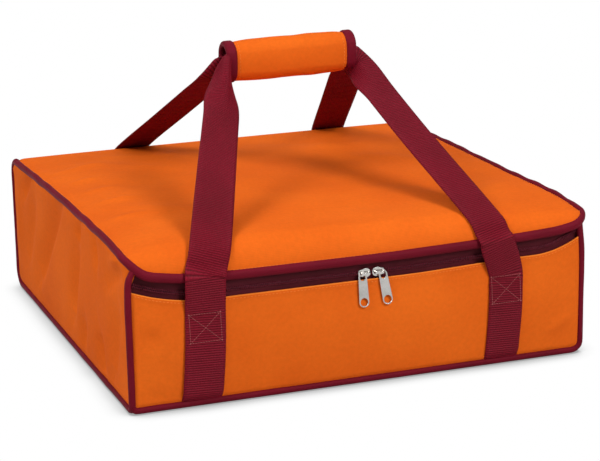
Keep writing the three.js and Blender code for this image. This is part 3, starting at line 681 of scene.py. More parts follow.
# Front panel: its foot corners are rounded and its hem turns in at the zip
front = {
    "cloth": 0.0016,
    "bulge": 0.0034,
    "bulgeFade": (0.8, 0.55),  # the bulge fades by this share, from this height up
    "bulgeWaves": (0.25, 5),  # depth and count of its shallow waves
    "belly": 0.0030,  # the panel bows out between its foot and the zip
    "waver": [(0.0006, 11, 0.11), (0.0003, 12, 0.05)],  # height, seed and wave
    "waverFade": 0.7,
    "grid": ((170, 0.45), (60, 0.35)),  # columns and rows: count, and crowding at both ends
    "corner": {-1: 0.0045, 1: 0.009},  # left and right
    "seam": 0.0068,  # reach of the dip beside the piping
    "hemProud": 0.0004,
    "hemDeep": (0.0042, 0.0012),  # the turned cloth's depth, and the step at its foot
    "highlightHemEdge": 0.0006,
    "hemEdgeAt": (0.003, 0.0005, 0.0003),  # short of the piping, inward and up
    "hem": [(0.0004, 0.0006), (0.0012, 0.0009), (0.0022, 0.0006)],  # inward and up
    "creaseFade": 0.02,  # creases fade this near the end piping
    "creases": [  # from, to, width, height
        ((-0.212, 0.096), (-0.184, 0.056), 0.010, 0.0014),
        ((-0.196, 0.050), (-0.184, 0.020), 0.008, -0.0010),
        ((0.190, 0.092), (0.172, 0.040), 0.012, 0.0010),
        ((-0.115, 0.094), (-0.095, 0.020), 0.018, -0.0010),
        ((0.060, 0.094), (0.085, 0.030), 0.018, 0.0010),
        ((0.186, 0.026), (0.216, 0.043), 0.006, 0.0014),
        ((-0.216, 0.074), (-0.190, 0.066), 0.009, -0.0014),
        ((-0.214, 0.016), (-0.186, 0.012), 0.008, -0.0012),
    ],
}


# Lines that the panels share

def bentUp(x, bend):
    return bend["rise"] * np.clip((x - bend["from"]) / bend["length"], 0, bend["most"]) ** 2


def frontRise(x):
    climb = zipLine["climb"]
    slope = climb["rise"] * smooth((x - climb["from"]) / climb["length"])
    return bentUp(-x, zipLine["leftBend"]) + slope + bentUp(x, zipLine["rightBend"])


def hemZ(x):
    return zipZ - zipLine["panelBelow"] + frontRise(x)


def softened(points):
    step = 0.001
    run = np.arange(points[0][0], points[-1][0] + step, step)
    value = np.interp(run, *zip(*points))
    reach = int(4 * trim["soften"] / step)
    bell = np.exp(-0.5 * (np.arange(-reach, reach + 1) * step / trim["soften"]) ** 2)
    return run, np.convolve(np.pad(value, reach, mode="edge"), bell / bell.sum(), mode="valid")


trimHeights = {side: softened(trim["heights"][side]) for side in (-1, 1)}


def noseShift(x, y):
    (fromX, fromY), (reachX, reachY) = trim["noseFrom"], trim["noseReach"]
    return trim["nose"] * smooth((x - fromX) / reachX) * smooth((fromY - y) / reachY)


# One half of the trim's line: from the hinge, round the corner, to the middle of the front
def trimLine(side):
    arc = math.pi / 2 * trim["corner"]
    sideSteps, turnSteps, frontSteps = trim["steps"]
    run = np.concatenate([
        np.linspace(cornerY - hingeY + trim["pastHinge"], 0, sideSteps)[:-1],
        np.linspace(0, arc, turnSteps)[:-1],
        np.linspace(arc, arc + cornerX, frontSteps),
    ])
    angle = np.clip(run, 0, arc) / trim["corner"]
    x = cornerX + trim["corner"] * np.cos(angle) - np.maximum(run - arc, 0)
    y = cornerY - np.minimum(run, 0) - trim["corner"] * np.sin(angle)
    height, wave, ease = trim["waver"]
    z = zipZ + np.interp(run, *trimHeights[side])
    fade = smooth(-run / ease) * smooth((run + trim["sideRun"]) / ease)
    z += height * ripple(run, 0 * run, 63 + side, wave) * fade
    return np.stack([side * x, y, z], axis=1), run


trimLines = {}
for side in (-1, 1):
    line, run = trimLine(side)
    nosed = line.copy()
    nosed[:, 0] += noseShift(line[:, 0], line[:, 1])
    trimLines[side] = {"plain": line, "line": nosed, "run": run}


def trimAtX(x):
    half = trimLines[-1 if x < 0 else 1]
    part = half["plain"][half["run"] >= 0]
    order = np.argsort(np.abs(part[:, 0]))
    return [np.interp(abs(x), np.abs(part[order, 0]), part[order, i]) for i in (1, 2)]


def lidTop(x, y):
    run = np.minimum(cornerY - y, 0)
    left, right = (zipZ + np.interp(run, *trimHeights[side]) for side in (-1, 1))
    tuck = lid["tuck"] * smooth((trimX - np.abs(x)) / lid["tuckReach"])
    dome = lid["rearDome"] + (lid["dome"] - lid["rearDome"]) * smooth((hingeY - y) / lid["domeReach"])
    across = (x + trimX) / (2 * trimX)
    return left + (right - left) * across + tuck + dome * (1 - np.abs(x / trimX) ** 5)


def footZ(away, side):
    radius = np.where(side < 0, front["corner"][-1], front["corner"][1])
    over = np.clip(radius - away, 0, radius)
    return pipeZ + radius - np.sqrt(radius ** 2 - over ** 2)


def frontFace(x, z):
    u = (x + pipeX) / (2 * pipeX)
    v = np.clip((z - pipeZ) / (hemZ(x) - pipeZ), 0, 1)
    edge = smooth(np.minimum(pipeX - np.abs(x), z - footZ(pipeX - np.abs(x), x)) / front["seam"])
    fade, fadeFrom = front["bulgeFade"]
    deep, waveCount = front["bulgeWaves"]
    bulge = front["bulge"] * pillow(u, v * 0.5, 3) * (1 - fade * smooth((v - fadeFrom) / (1 - fadeFrom)))
    bulge = bulge * (1 - deep + deep * np.cos(waveCount * math.pi * (u - 0.5)))
    belly = front["belly"] * (1 - (2 * v - 1) ** 2)
    waver = ripples(x, z, front["waver"]) * (1 - front["waverFade"] * v)
    lift = pipeFrontY - frontY + bulge + belly + waver
    return pipeFrontY - lift * edge


def addFront():
    columns, rows = front["grid"]
    hemRows = front["hem"]
    vs = np.concatenate([spread(0, 1, *rows), np.ones(len(hemRows))])
    x, v = np.meshgrid(spread(-pipeX, pipeX, *columns), vs)
    top = hemZ(x)
    low = footZ(pipeX - np.abs(x), x)
    z = low + (top - low) * v
    inside = smooth((pipeX - np.abs(x)) / front["creaseFade"])
    y = frontFace(x, z) - creased(x, z, front["creases"]) * inside
    deep, step = front["hemDeep"]
    y -= front["hemProud"] * smooth((z - top + deep) / step)
    for i, (inward, up) in enumerate(hemRows):
        y[len(vs) - len(hemRows) + i] += inward
        z[len(vs) - len(hemRows) + i] += up
    panel = clothPanel("front_cloth", np.stack([x, y, z], axis=2), front["cloth"], orangeCloth)
    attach(panel, "root")
    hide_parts("front_panel", "front_foam")
    # A thin rolled hem edge in the lighter finish, which paints a highlight along the hem
    short, inward, up = front["hemEdgeAt"]
    xs = np.linspace(-pipeX + short, pipeX - short, 160)
    top = hemZ(xs)
    line = np.stack([xs, frontFace(xs, top) - front["hemProud"] + inward, top + up], axis=1)
    edge = tubeAlong("front_hem_highlight_edge", line, front["highlightHemEdge"], front["highlightHemEdge"], highlightHemEdge)
    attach(edge, "root")


# End panels, with soft folds in the cloth; a crease with two widths is steeper on one side
ends = {
    "cloth": 0.0016,
    "bulge": 0.0022,
    "seam": 0.0075,
    "grid": ((190, 0.55), (70, 0.45)),
    "cornerRun": 0.030,  # how far round the trim's corner the top edge follows it
    "rimFrom": 0.82,  # share of the height where the rim starts to lean to the trim
    "ripple": (0.0006, 0.06),  # height and wave
    "pucker": (0.0008, 0.018, 0.015),  # height, wave and reach of the small gathers under the trim
    "creases": {  # from and to as y and z, then width and height
        -1: [
            ((0.002, 0.145), (0.110, 0.036), (0.019, 0.008), -0.0086),
            ((0.118, 0.118), (0.160, 0.042), (0.018, 0.009), -0.0046),
            ((0.136, 0.140), (0.172, 0.110), (0.011, 0.006), -0.0046),
            ((-0.062, 0.116), (-0.030, 0.036), (0.018, 0.007), -0.0074),
            ((-0.070, 0.138), (-0.056, 0.118), (0.010, 0.006), -0.0042),
            ((-0.121, 0.142), (-0.128, 0.108), (0.009, 0.006), -0.0042),
            ((-0.212, 0.128), (-0.158, 0.102), (0.011, 0.007), -0.0036),
            ((-0.206, 0.142), (-0.178, 0.130), 0.007, 0.0034),
            ((-0.130, 0.050), (-0.138, 0.010), (0.017, 0.007), -0.0058),
            ((-0.195, 0.094), (-0.176, 0.026), (0.018, 0.009), -0.0046),
            ((-0.076, 0.048), (-0.064, 0.012), (0.013, 0.006), -0.0040),
            ((0.190, 0.110), (0.200, 0.040), 0.012, 0.0026),
        ],
        1: [
            ((-0.205, 0.128), (-0.120, 0.060), 0.010, 0.0051),
            ((-0.170, 0.134), (-0.090, 0.080), 0.013, -0.0037),
            ((-0.045, 0.141), (0.030, 0.050), 0.013, 0.0044),
            ((0.060, 0.141), (0.085, 0.070), 0.012, -0.0034),
            ((0.120, 0.140), (0.180, 0.060), 0.012, 0.0044),
            ((-0.060, 0.050), (-0.045, 0.014), 0.010, 0.0024),
        ],
    },
}


def endTop(side, y):
    half = trimLines[side]
    part = half["line"][half["run"] <= ends["cornerRun"]]
    part = part[np.argsort(part[:, 1])]
    return [np.interp(y, part[:, 1], part[:, i]) for i in (0, 2)]


def addEnd(side):
    name = "left" if side < 0 else "right"
    columns, rows = ends["grid"]
    y, v = np.meshgrid(spread(pipeFrontY, pipeBackY, *columns), spread(0, 1, *rows))
    bend = foldRadius - (backY - pipeBackY)
    over = np.clip(y - (pipeBackY - bend), 0, bend)
    lift = bend - np.sqrt(np.maximum(bend * bend - over * over, 0))
    topX, topZ = endTop(side, y)
    z0 = np.maximum(pipeZ + lift, footZ(y - pipeFrontY, side))
    z1 = topZ - lift
    z = z0 + (z1 - z0) * v
    away = np.minimum(np.minimum(y - pipeFrontY, pipeBackY - y), np.minimum(z - z0, z1 - z))
    edge = smooth(away / ends["seam"])
    u = (y - pipeFrontY) / (pipeBackY - pipeFrontY)
    height, wave = ends["ripple"]
    folds = creased(y, z, ends["creases"][side]) + height * ripple(y, z, 21 + side, wave)
    height, wave, reach = ends["pucker"]
    folds += height * ripple(y, 0.2 * z, 25 + side, wave) * np.exp(-(z1 - z) / reach)
    out = sideX - pipeX + ends["bulge"] * pillow(u, v, 4) + folds
    rim = pipeX + (np.abs(topX) - pipeX) * smooth((v - ends["rimFrom"]) / (1 - ends["rimFrom"]))
    x = side * (rim + out * edge)
    grid = np.stack([x, y, z], axis=2)
    grid = grid[:, ::-1] if side < 0 else grid
    panel = clothPanel(f"{name}_end_cloth", grid, ends["cloth"], orangeCloth)
    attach(panel, "root")
    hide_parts(f"{name}_end_panel", f"{name}_end_foam")


# One wrap of cloth: base, back and lid, cut into a root piece and two lid halves along the middle
wrap = {
    "cloth": 0.0016,
    "backBulge": 0.0022,
    "backSway": (0.0008, 31, 0.09),  # height, seed and wave
    "fadeReach": 0.03,  # beside the hinge
    "lidInset": 0.025,  # the lid's creases end this far from the side trim
    "lidWaver": [(0.0007, 41, 0.10), (0.0003, 42, 0.045)],
    "lidFold": 1.6,
    "lining": {"depth": 0.0115, "thickness": 0.001, "inset": 6},  # inset: columns and rows left out
    "stitchLift": 0.0002,
    "hingeGap": 0.0001,
    "columns": (70, 22),  # half the flat, and round one front corner
    "rows": {"base": 46, "turn": 16, "back": 34, "lid": 160, "roll": 22},
    "gatherFrom": 0.008,
    "gather": (0.0008, 0.030, 0.030),  # height, wave and reach of the gathers beside the side trim
    "lidCreases": [  # from, to, width, height
        ((-0.190, 0.150), (-0.090, 0.060), 0.014, 0.0009),
        ((-0.200, 0.060), (-0.130, -0.010), 0.013, -0.0008),
        ((-0.150, 0.170), (-0.030, 0.120), 0.015, 0.0009),
        ((-0.205, -0.060), (-0.120, -0.110), 0.014, 0.0009),
        ((0.060, -0.060), (0.140, -0.130), 0.016, -0.0010),
        ((0.080, 0.050), (0.190, -0.020), 0.016, 0.0009),
        ((0.150, -0.150), (0.205, -0.100), 0.012, 0.0008),
        ((-0.060, -0.160), (0.060, -0.150), 0.020, -0.0007),
        ((0.020, 0.160), (0.150, 0.110), 0.018, -0.0008),
        ((-0.110, -0.190), (-0.090, -0.140), 0.010, 0.0006),
        ((-0.202, -0.046), (-0.162, -0.038), 0.0065, 0.0013),
        ((-0.210, -0.111), (-0.168, -0.101), 0.0065, 0.0013),
        ((-0.206, 0.051), (-0.174, 0.064), 0.0070, 0.0011),
        ((-0.205, 0.001), (-0.166, 0.015), 0.0070, 0.0010),
        ((-0.204, 0.107), (-0.156, 0.125), 0.0080, 0.0010),
    ],
}


def backProfile(offsetBottom, offsetBack, offsetTop, radius):
    low, high = offsetBottom, rearZ - offsetTop
    back = backY - offsetBack
    rows = wrap["rows"]
    flat = np.linspace(pipeFrontY, back - radius, rows["base"])
    wall = np.linspace(low + radius, high - radius, rows["back"])[1:]
    return np.vstack([
        np.column_stack([flat, np.full_like(flat, low)]),
        arcPoints((back - radius, low + radius), radius, (-90, 0), rows["turn"])[1:],
        np.column_stack([np.full_like(wall, back), wall]),
        arcPoints((back - radius, high - radius), radius, (0, 90), rows["turn"])[1:],
        [[hingeY + wrap["hingeGap"], high]],
    ])


def wrapColumns():
    flatCount, turnCount = wrap["columns"]
    turn = np.sin(np.linspace(0, math.pi / 2, turnCount))[1:]
    half = np.concatenate([spread(0, cornerX, flatCount), cornerX + trim["corner"] * turn])
    return np.concatenate([-half[:0:-1], half])


def wrapGrids():
    xs = wrapColumns()
    bend = foldRadius - (backY - pipeBackY)
    edge = backProfile(pipeZ, backY - pipeBackY, rearZ - rearTrimZ, bend)
    face = backProfile(0.0, 0.0, 0.0, foldRadius)
    share = smooth((trimX - np.abs(xs)) / lid["tuckReach"])
    backPart = edge[:, None] + (face - edge)[:, None] * share[None, :, None]
    meet = lidTop(xs, np.full_like(xs, hingeY)) - backPart[-1, :, 1]
    near = wrap["fadeReach"]
    backPart[:, :, 1] += meet * smooth((backPart[:, :, 1] - rearZ + near) / near)
    onBack = smooth((backPart[:, :, 0] - (backY - foldRadius)) / foldRadius)
    u = (xs[None] + trimX) / (2 * trimX)
    puff = wrap["backBulge"] * pillow(u, 0.5, 4) * onBack
    puff = puff * np.sin(math.pi * np.clip(face[:, 1:2] / rearZ, 0, 1))
    wide = np.broadcast_to(xs, puff.shape)
    height, seed, wave = wrap["backSway"]
    sway = height * ripple(wide, np.broadcast_to(face[:, 1:2], puff.shape), seed, wave)
    y = backPart[:, :, 0] + puff + sway * onBack * share
    sideFoot = footZ(pipeX - np.abs(wide), wide)
    frontFoot = footZ(backPart[:, :, 0] - pipeFrontY, wide)
    raised = np.minimum(sideFoot, frontFoot) - pipeZ
    under = np.stack([wide, y, backPart[:, :, 1] + raised], axis=2)

    lidColumns = []
    flat = np.linspace(0, 1, wrap["rows"]["lid"])[1:]
    phis = np.linspace(math.pi / 2, 0, wrap["rows"]["roll"])[1:]
    for x in xs:
        yEdge, zEdge = trimAtX(x)
        drop = lidTop(x, yEdge) - zEdge
        reach = lid["leastRoll"] + (lid["roll"] - lid["leastRoll"]) * smooth(drop / lid["rollHeight"])
        y = np.concatenate([hingeY + (yEdge + reach - hingeY) * flat, yEdge + reach * (1 - np.cos(phis))])
        droop = np.concatenate([np.ones_like(flat), np.sin(phis)])
        z = zEdge + (lidTop(x, y) - zEdge) * droop
        lidColumns.append(np.stack([np.full_like(y, x), y, z], axis=1))
    over = np.stack(lidColumns, axis=1)
    x, y = over[:, :, 0].copy(), over[:, :, 1]
    fromTrim, fromHinge = trimX - np.abs(x), smooth((hingeY - y) / near)
    inside = smooth(fromTrim / wrap["lidInset"]) * fromHinge
    above = smooth((over[:, :, 2] - trimZ) / (lidZ - trimZ))
    rise = creased(x, y, wrap["lidCreases"]) + ripples(x, y, wrap["lidWaver"])
    height, wave, reach = wrap["gather"]
    edging = np.exp(-fromTrim / reach) * smooth(fromTrim / wrap["gatherFrom"])
    gather = height * ripple(0.3 * x, y, 43, wave) * edging * fromHinge
    over[:, :, 2] += (wrap["lidFold"] * rise * inside + gather) * above
    over[:, :, 0] += noseShift(x, y)
    return under, over


def addWrap():
    under, over = wrapGrids()
    whole = np.vstack([under, over])[:, ::-1]  # columns run to the right as seen from outside
    normals = gridNormals(whole)
    uv = gridLengths(whole)
    seam = len(under)
    mid = whole.shape[1] // 2
    pieces = {
        "base_and_back_cloth": (slice(0, seam + 1), slice(None)),
        "lid_cloth_right": (slice(seam, None), slice(0, mid + 1)),
        "lid_cloth_left": (slice(seam, None), slice(mid, None)),
    }
    made = {}
    for name, (rows, cols) in pieces.items():
        made[name] = clothPanel(name, whole[rows, cols], wrap["cloth"], orangeCloth, normals[rows, cols],
                                [part[rows, cols] for part in uv])
    root = made["base_and_back_cloth"]
    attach(root, "root")
    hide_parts("bottom_panel", "back_panel", "back_foam", "bottom_foam", "base_board")
    for side, name in ((-1, "lid_cloth_left"), (1, "lid_cloth_right")):
        liftLid(made[name])
        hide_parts("lid_panel", "lid_foam")
    inset = wrap["lining"]["inset"]
    turned = normals[seam:-inset, inset:-inset]
    lining = whole[seam:-inset, inset:-inset] - turned * wrap["lining"]["depth"]
    mid -= inset
    for side, cols in ((1, slice(0, mid + 1)), (-1, slice(mid, None))):
        name = "lid_lining_left" if side < 0 else "lid_lining_right"
        piece = clothPanel(name, lining[:, cols], wrap["lining"]["thickness"], foil, turned[:, cols])
        liftLid(piece)
        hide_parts("lid_liner")
    return over + normals[seam:, ::-1] * wrap["stitchLift"]


def liftLid(piece):
    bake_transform(piece)


addFront()
for side in (-1, 1):
    addEnd(side)
lidSkin = addWrap()
print("cloth panels made")


# Piping round the ends and along the front foot, and the heavier trim of the lid
piping = {
    "sway": (0.00025, 0.07),  # height and wave
    "lumps": (0.03, 0.02),  # share of the radius and wave
    "trimLumps": (0.02, 0.03),
    "plainMiddle": 0.03,  # no lumps where the trim's halves meet
    "thicken": (0.02, 0.06),  # the trim thickens from before its corner, over this run
    "step": 0.003,
    "footStep": 0.0025,
    "meetsTrim": 0.017,  # how far round the trim's corner the upright starts
    "tuck": (0, 0.001, -0.001),  # its upper end lies in the trim
    "upper": [(0.0015, 0.0003, 0.010), (0, 0, 0.026)],  # in from the piping's line, back, and below the trim
    "middle": 0.06,
    "aboveTurn": 0.004,
    "shortOfHinge": 0.0005,
}


def endPipingLine(side):
    bend = foldRadius - (backY - pipeBackY)
    turnY = pipeBackY - bend
    corner = front["corner"][side]
    half = trimLines[side]
    top = half["line"][np.argmin(np.abs(half["run"] - piping["meetsTrim"]))]
    upper = [[side * (pipeX - inward), pipeFrontY + back, top[2] - down]
             for inward, back, down in piping["upper"]]
    lower = [[side * pipeX, pipeFrontY, z] for z in (piping["middle"], pipeZ + corner + piping["aboveTurn"])]
    upright = splinePath([top + piping["tuck"], *upper, *lower])
    rest = np.vstack([
        arcPoints((pipeFrontY + corner, pipeZ + corner), corner, (180, 270), 9),
        arcPoints((turnY, pipeZ + bend), bend, (270, 360), 10),
        arcPoints((turnY, rearTrimZ - bend), bend, (0, 90), 10),
        [[hingeY - piping["shortOfHinge"], rearTrimZ]],
    ])
    rest = np.column_stack([np.full(len(rest), side * pipeX), rest])
    return resample(np.vstack([upright, rest]), piping["step"])


def addPiping():
    (sway, swayWave), (lump, lumpWave) = piping["sway"], piping["lumps"]
    for side, name in ((-1, "left"), (1, "right")):
        line = endPipingLine(side)
        line[:, 0] += sway * ripple(line[:, 1], line[:, 2], 51 + side, swayWave)
        across = np.tile([1.0, 0, 0], (len(line), 1))
        radius = pipeRadius * (1 + lump * ripple(line[:, 1], line[:, 2], 55 + side, lumpWave))
        tube = tubeAlong(f"{name}_end_cord", line, radius, radius, maroonBinding, across)
        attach(tube, "root")
        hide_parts(f"{name}_end_piping")
    left, right = (arcPoints((pipeX - corner, pipeZ + corner), corner, (270, 350), 10)
                   for corner in (front["corner"][-1], front["corner"][1]))
    foot = np.vstack([left[::-1] * [-1, 1], right])
    line = np.column_stack([foot[:, 0], np.full(len(foot), pipeFrontY), foot[:, 1]])
    line = resample(line, piping["footStep"])
    radius = pipeRadius * (1 + lump * ripple(line[:, 0], line[:, 2], 59, lumpWave))
    tube = tubeAlong("front_foot_cord", line, radius, radius, maroonBinding)
    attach(tube, "root")
    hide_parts("front_bottom_piping")

    lump, lumpWave = piping["trimLumps"]
    before, over = piping["thicken"]
    for side, name in ((-1, "left"), (1, "right")):
        line, run = trimLines[side]["line"], trimLines[side]["run"]
        atFront = smooth((run + before) / over)
        halfUp, halfAcross = (s + (f - s) * atFront for s, f in zip(trim["sideHalf"], trim["frontHalf"]))
        lumps = lump * ripple(line[:, 0], line[:, 1], 61 + side, lumpWave)
        swell = 1 + lumps * smooth(np.abs(line[:, 0]) / piping["plainMiddle"])
        tube = tubeAlong(f"lid_trim_{name}", line, halfUp * swell, halfAcross, maroonBinding, None, 18)
        liftLid(tube)
        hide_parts("lid_trim")


addPiping()
print("piping and trim made")


# Things that repeat along a line, such as stitches and zip teeth
def repeatTree():
    tree = bpy.data.node_groups.new("repeatAlong", "GeometryNodeTree")
    inputs = (("Line", "Geometry"), ("Pitch", "Float"), ("Half size", "Vector"), ("Finish", "Material"))
    for name, kind in inputs:
        tree.interface.new_socket(name, in_out="INPUT", socket_type=f"NodeSocket{kind}")
    tree.interface.new_socket("Pieces", in_out="OUTPUT", socket_type="NodeSocketGeometry")
    nodes = tree.nodes
    given = nodes.new("NodeGroupInput")
    curve = nodes.new("GeometryNodeMeshToCurve")
    points = nodes.new("GeometryNodeCurveToPoints")
    points.mode = "LENGTH"
    bead = nodes.new("GeometryNodeMeshUVSphere")
    bead.inputs["Segments"].default_value = 8
    bead.inputs["Rings"].default_value = 5
    sized = nodes.new("GeometryNodeTransform")
    turn = nodes.new("FunctionNodeAlignRotationToVector")
    turn.axis = "X"
    placed = nodes.new("GeometryNodeInstanceOnPoints")
    real = nodes.new("GeometryNodeRealizeInstances")
    shade = nodes.new("GeometryNodeSetShadeSmooth")
    finish = nodes.new("GeometryNodeSetMaterial")
    result = nodes.new("NodeGroupOutput")
    for source, output, target, entry in (
            (given, "Line", curve, "Mesh"),
            (curve, "Curve", points, "Curve"),
            (given, "Pitch", points, "Length"),
            (points, "Tangent", turn, "Vector"),
            (bead, "Mesh", sized, "Geometry"),
            (given, "Half size", sized, "Scale"),
            (points, "Points", placed, "Points"),
            (sized, "Geometry", placed, "Instance"),
            (turn, "Rotation", placed, "Rotation"),
            (placed, "Instances", shade, "Geometry"),
            (shade, "Geometry", real, "Geometry"),
            (real, "Geometry", finish, "Geometry"),
            (given, "Finish", finish, "Material"),
            (finish, "Geometry", result, "Pieces")):
        tree.links.new(source.outputs[output], target.inputs[entry])
    return tree


repeatAlong = repeatTree()


def repeated(name, lines, pitch, halfSize, finish):
    verts, edges = [], []
    for line in lines:
        first = len(verts)
        verts += [tuple(p) for p in np.asarray(line, float)]
        edges += [(i, i + 1) for i in range(first, len(verts) - 1)]
    source = bpy.data.meshes.new(name + "_line")
    source.from_pydata(verts, edges, [])
    maker = addObject(name + "_line", source)
    modifier = maker.modifiers.new("repeat", "NODES")
    modifier.node_group = repeatAlong
    given = {"Pitch": pitch, "Half size": halfSize, "Finish": finish}
    for item in repeatAlong.interface.items_tree:
        if item.in_out == "INPUT" and item.name in given:
            modifier[item.identifier] = given[item.name]
    maker.update_tag()
    mesh = madeMesh(maker, name)
    bpy.data.meshes.remove(source)
    return addObject(name, mesh)


# Zip: two tapes, two rows of teeth
tape = {
    "thickness": 0.0009,
    "halfLength": 0.2215,
    "taper": 0.018,  # the upper tape's ends lean in to the trim
    "hidden": 0.009,  # the part sewn behind the front panel
    "toothPitch": 0.0017,
    "tooth": (0.00062, 0.0011, 0.00125),
    "toothGap": 0.0010,
    "toothStand": 0.0009,
    "toothShift": 0.0008,  # the upper teeth lie between the lower ones
    "halfGap": 0.0006,
    "bow": 0.0004,
    "endBack": 0.0022,  # tape ends turn back at the corners
    "endFrom": 0.185,
    "taperFrom": 0.19,
    "endReach": 0.03,
    "inTrim": (0.0005, 0.001),  # behind and below the trim's middle
}


def zipDepth(x):
    return zipY + tape["endBack"] * smooth((np.abs(x) - tape["endFrom"]) / tape["endReach"])


def tapered(x):
    return tape["taper"] * smooth((np.abs(x) - tape["taperFrom"]) / tape["endReach"])


def tapeGrid(xs, low, high, topY=None):
    v = np.linspace(0, 1, 9)[:, None]
    z = low[None] + (high - low)[None] * v
    x = xs[None] * (1 - v * (0 if topY is None else tapered(xs)))
    y = zipDepth(x) - tape["bow"] * np.sin(math.pi * v)
    if topY is not None:
        y += np.maximum(topY + tape["inTrim"][0] - zipDepth(xs), 0)[None] * v
    return np.stack([x, y, z], axis=2)


def addZip():
    xs = np.linspace(-tape["halfLength"], tape["halfLength"], 160)
    middle = zipZ + frontRise(xs)
    grid = tapeGrid(xs, hemZ(xs) - tape["hidden"], middle - tape["halfGap"])
    piece = clothPanel("zip_tape_lower", grid, tape["thickness"], zipTape)
    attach(piece, "root")
    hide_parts("lower_zip_tape")
    teeth = np.stack([xs, zipDepth(xs) - tape["toothStand"], middle - tape["toothGap"]], axis=1)
    piece = repeated("zip_teeth_lower", [teeth], tape["toothPitch"], tape["tooth"], zipNylon)
    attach(piece, "root")
    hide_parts("lower_zip_coil")
    for side, name in ((-1, "left"), (1, "right")):
        half = np.linspace(0, tape["halfLength"], 90) * side
        half = half[::-1] if side < 0 else half
        middle = zipZ + frontRise(half)
        topY, topZ = np.array([trimAtX(x) for x in half * (1 - tapered(half))]).T
        grid = tapeGrid(half, middle + tape["halfGap"], topZ - tape["inTrim"][1], topY)
        piece = clothPanel(f"zip_tape_upper_{name}", grid, tape["thickness"], zipTape)
        liftLid(piece)
        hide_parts("upper_zip_tape")
        depth = zipDepth(half) - tape["toothStand"]
        teeth = np.stack([half + tape["toothShift"], depth, middle + tape["toothGap"]], axis=1)
        piece = repeated(f"zip_teeth_upper_{name}", [teeth], tape["toothPitch"], tape["tooth"], zipNylon)
        liftLid(piece)
        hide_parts("upper_zip_coil")


addZip()
print("zip made")


# Sliders are the frame's own shapes with softened edges; each pull is a flat plate with a slot and a hole
metal = {"edge": 0.0004, "flatAngle": 0.01, "sharpAngle": 30, "lean": 9.0, "behindBar": 0.0022}
pull = {
    "top": (-0.0025, 0.0042),  # centre below the pivot, and radius
    "foot": (-0.0262, 0.0049),
    "hole": 0.0037,
    "slot": (-0.0019, -0.0038, 0.0026),  # two centres and the half width
    "half": 0.0006,
    "edge": 0.0003,
    "aside": {"left": -0.0027, "right": 0.0034},  # each hangs at one end of its bar
    "turn": {"left": 0.0, "right": 7.5},
}


def plated(mesh, isSmooth):
    mesh.materials.clear()
    mesh.materials.append(nickel)
    mesh.polygons.foreach_set("use_smooth", [isSmooth] * len(mesh.polygons))


def softenedCopy(node, name):
    mesh = frame["nodes"][node].data.copy()
    mesh.name = name
    mergeDoubles(mesh, metal["flatAngle"])
    plated(mesh, True)
    piece = addObject(name, mesh)
    bevel = piece.modifiers.new("softEdges", "BEVEL")
    bevel.width = metal["edge"]
    bevel.segments = 2
    bevel.limit_method = "ANGLE"
    bevel.angle_limit = math.radians(metal["sharpAngle"])
    return piece


# Long round-ended outline with its own radius at each end
def roundEnded(upper, upperRadius, lower, lowerRadius):
    top = arcPoints((0, upper), upperRadius, (0, 180), 16)
    return np.vstack([top, arcPoints((0, lower), lowerRadius, (180, 360), 16)])


def pullPlate(name):
    curve = bpy.data.curves.new(name, "CURVE")
    curve.dimensions = "2D"
    curve.fill_mode = "BOTH"
    curve.extrude = pull["half"] - pull["edge"]
    curve.bevel_depth = pull["edge"]
    curve.bevel_resolution = 2
    curve.offset = -pull["edge"]
    slotTop, slotLow, slotHalf = pull["slot"]
    footAt = pull["foot"][0]
    outlines = [
        roundEnded(*pull["top"], *pull["foot"]),
        roundEnded(slotTop, slotHalf, slotLow, slotHalf),
        roundEnded(footAt, pull["hole"], footAt, pull["hole"]),
    ]
    for outline in outlines:
        spline = curve.splines.new("POLY")
        spline.points.add(len(outline) - 1)
        flat = np.column_stack([outline, np.zeros(len(outline)), np.ones(len(outline))])
        spline.points.foreach_set("co", flat.ravel())
        spline.use_cyclic_u = True
    mesh = madeMesh(addObject(name, curve), name)
    bpy.data.curves.remove(curve)
    mergeDoubles(mesh)
    plated(mesh, False)
    return addObject(name, mesh)


def addSliders():
    for side in ("left", "right"):
        slider = softenedCopy(f"{side}_slider", f"{side}_slider_metal")
        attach(slider, f"{side}_slider")
        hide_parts(f"{side}_slider")
        plate = pullPlate(f"{side}_pull_metal")
        pivot = Vector(joints[f"{side}_pull_swing"]["pos_m"])
        pivot += Vector((pull["aside"][side], metal["behindBar"], 0))
        stand = Matrix.Rotation(math.radians(90 - metal["lean"]), 4, "X")
        turn = Matrix.Rotation(math.radians(-pull["turn"][side]), 4, "Y")
        plate.data.transform(Matrix.Translation(pivot) @ turn @ stand)
        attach(plate, f"{side}_pull")
        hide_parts(f"{side}_pull_tab")


addSliders()
print("sliders made")


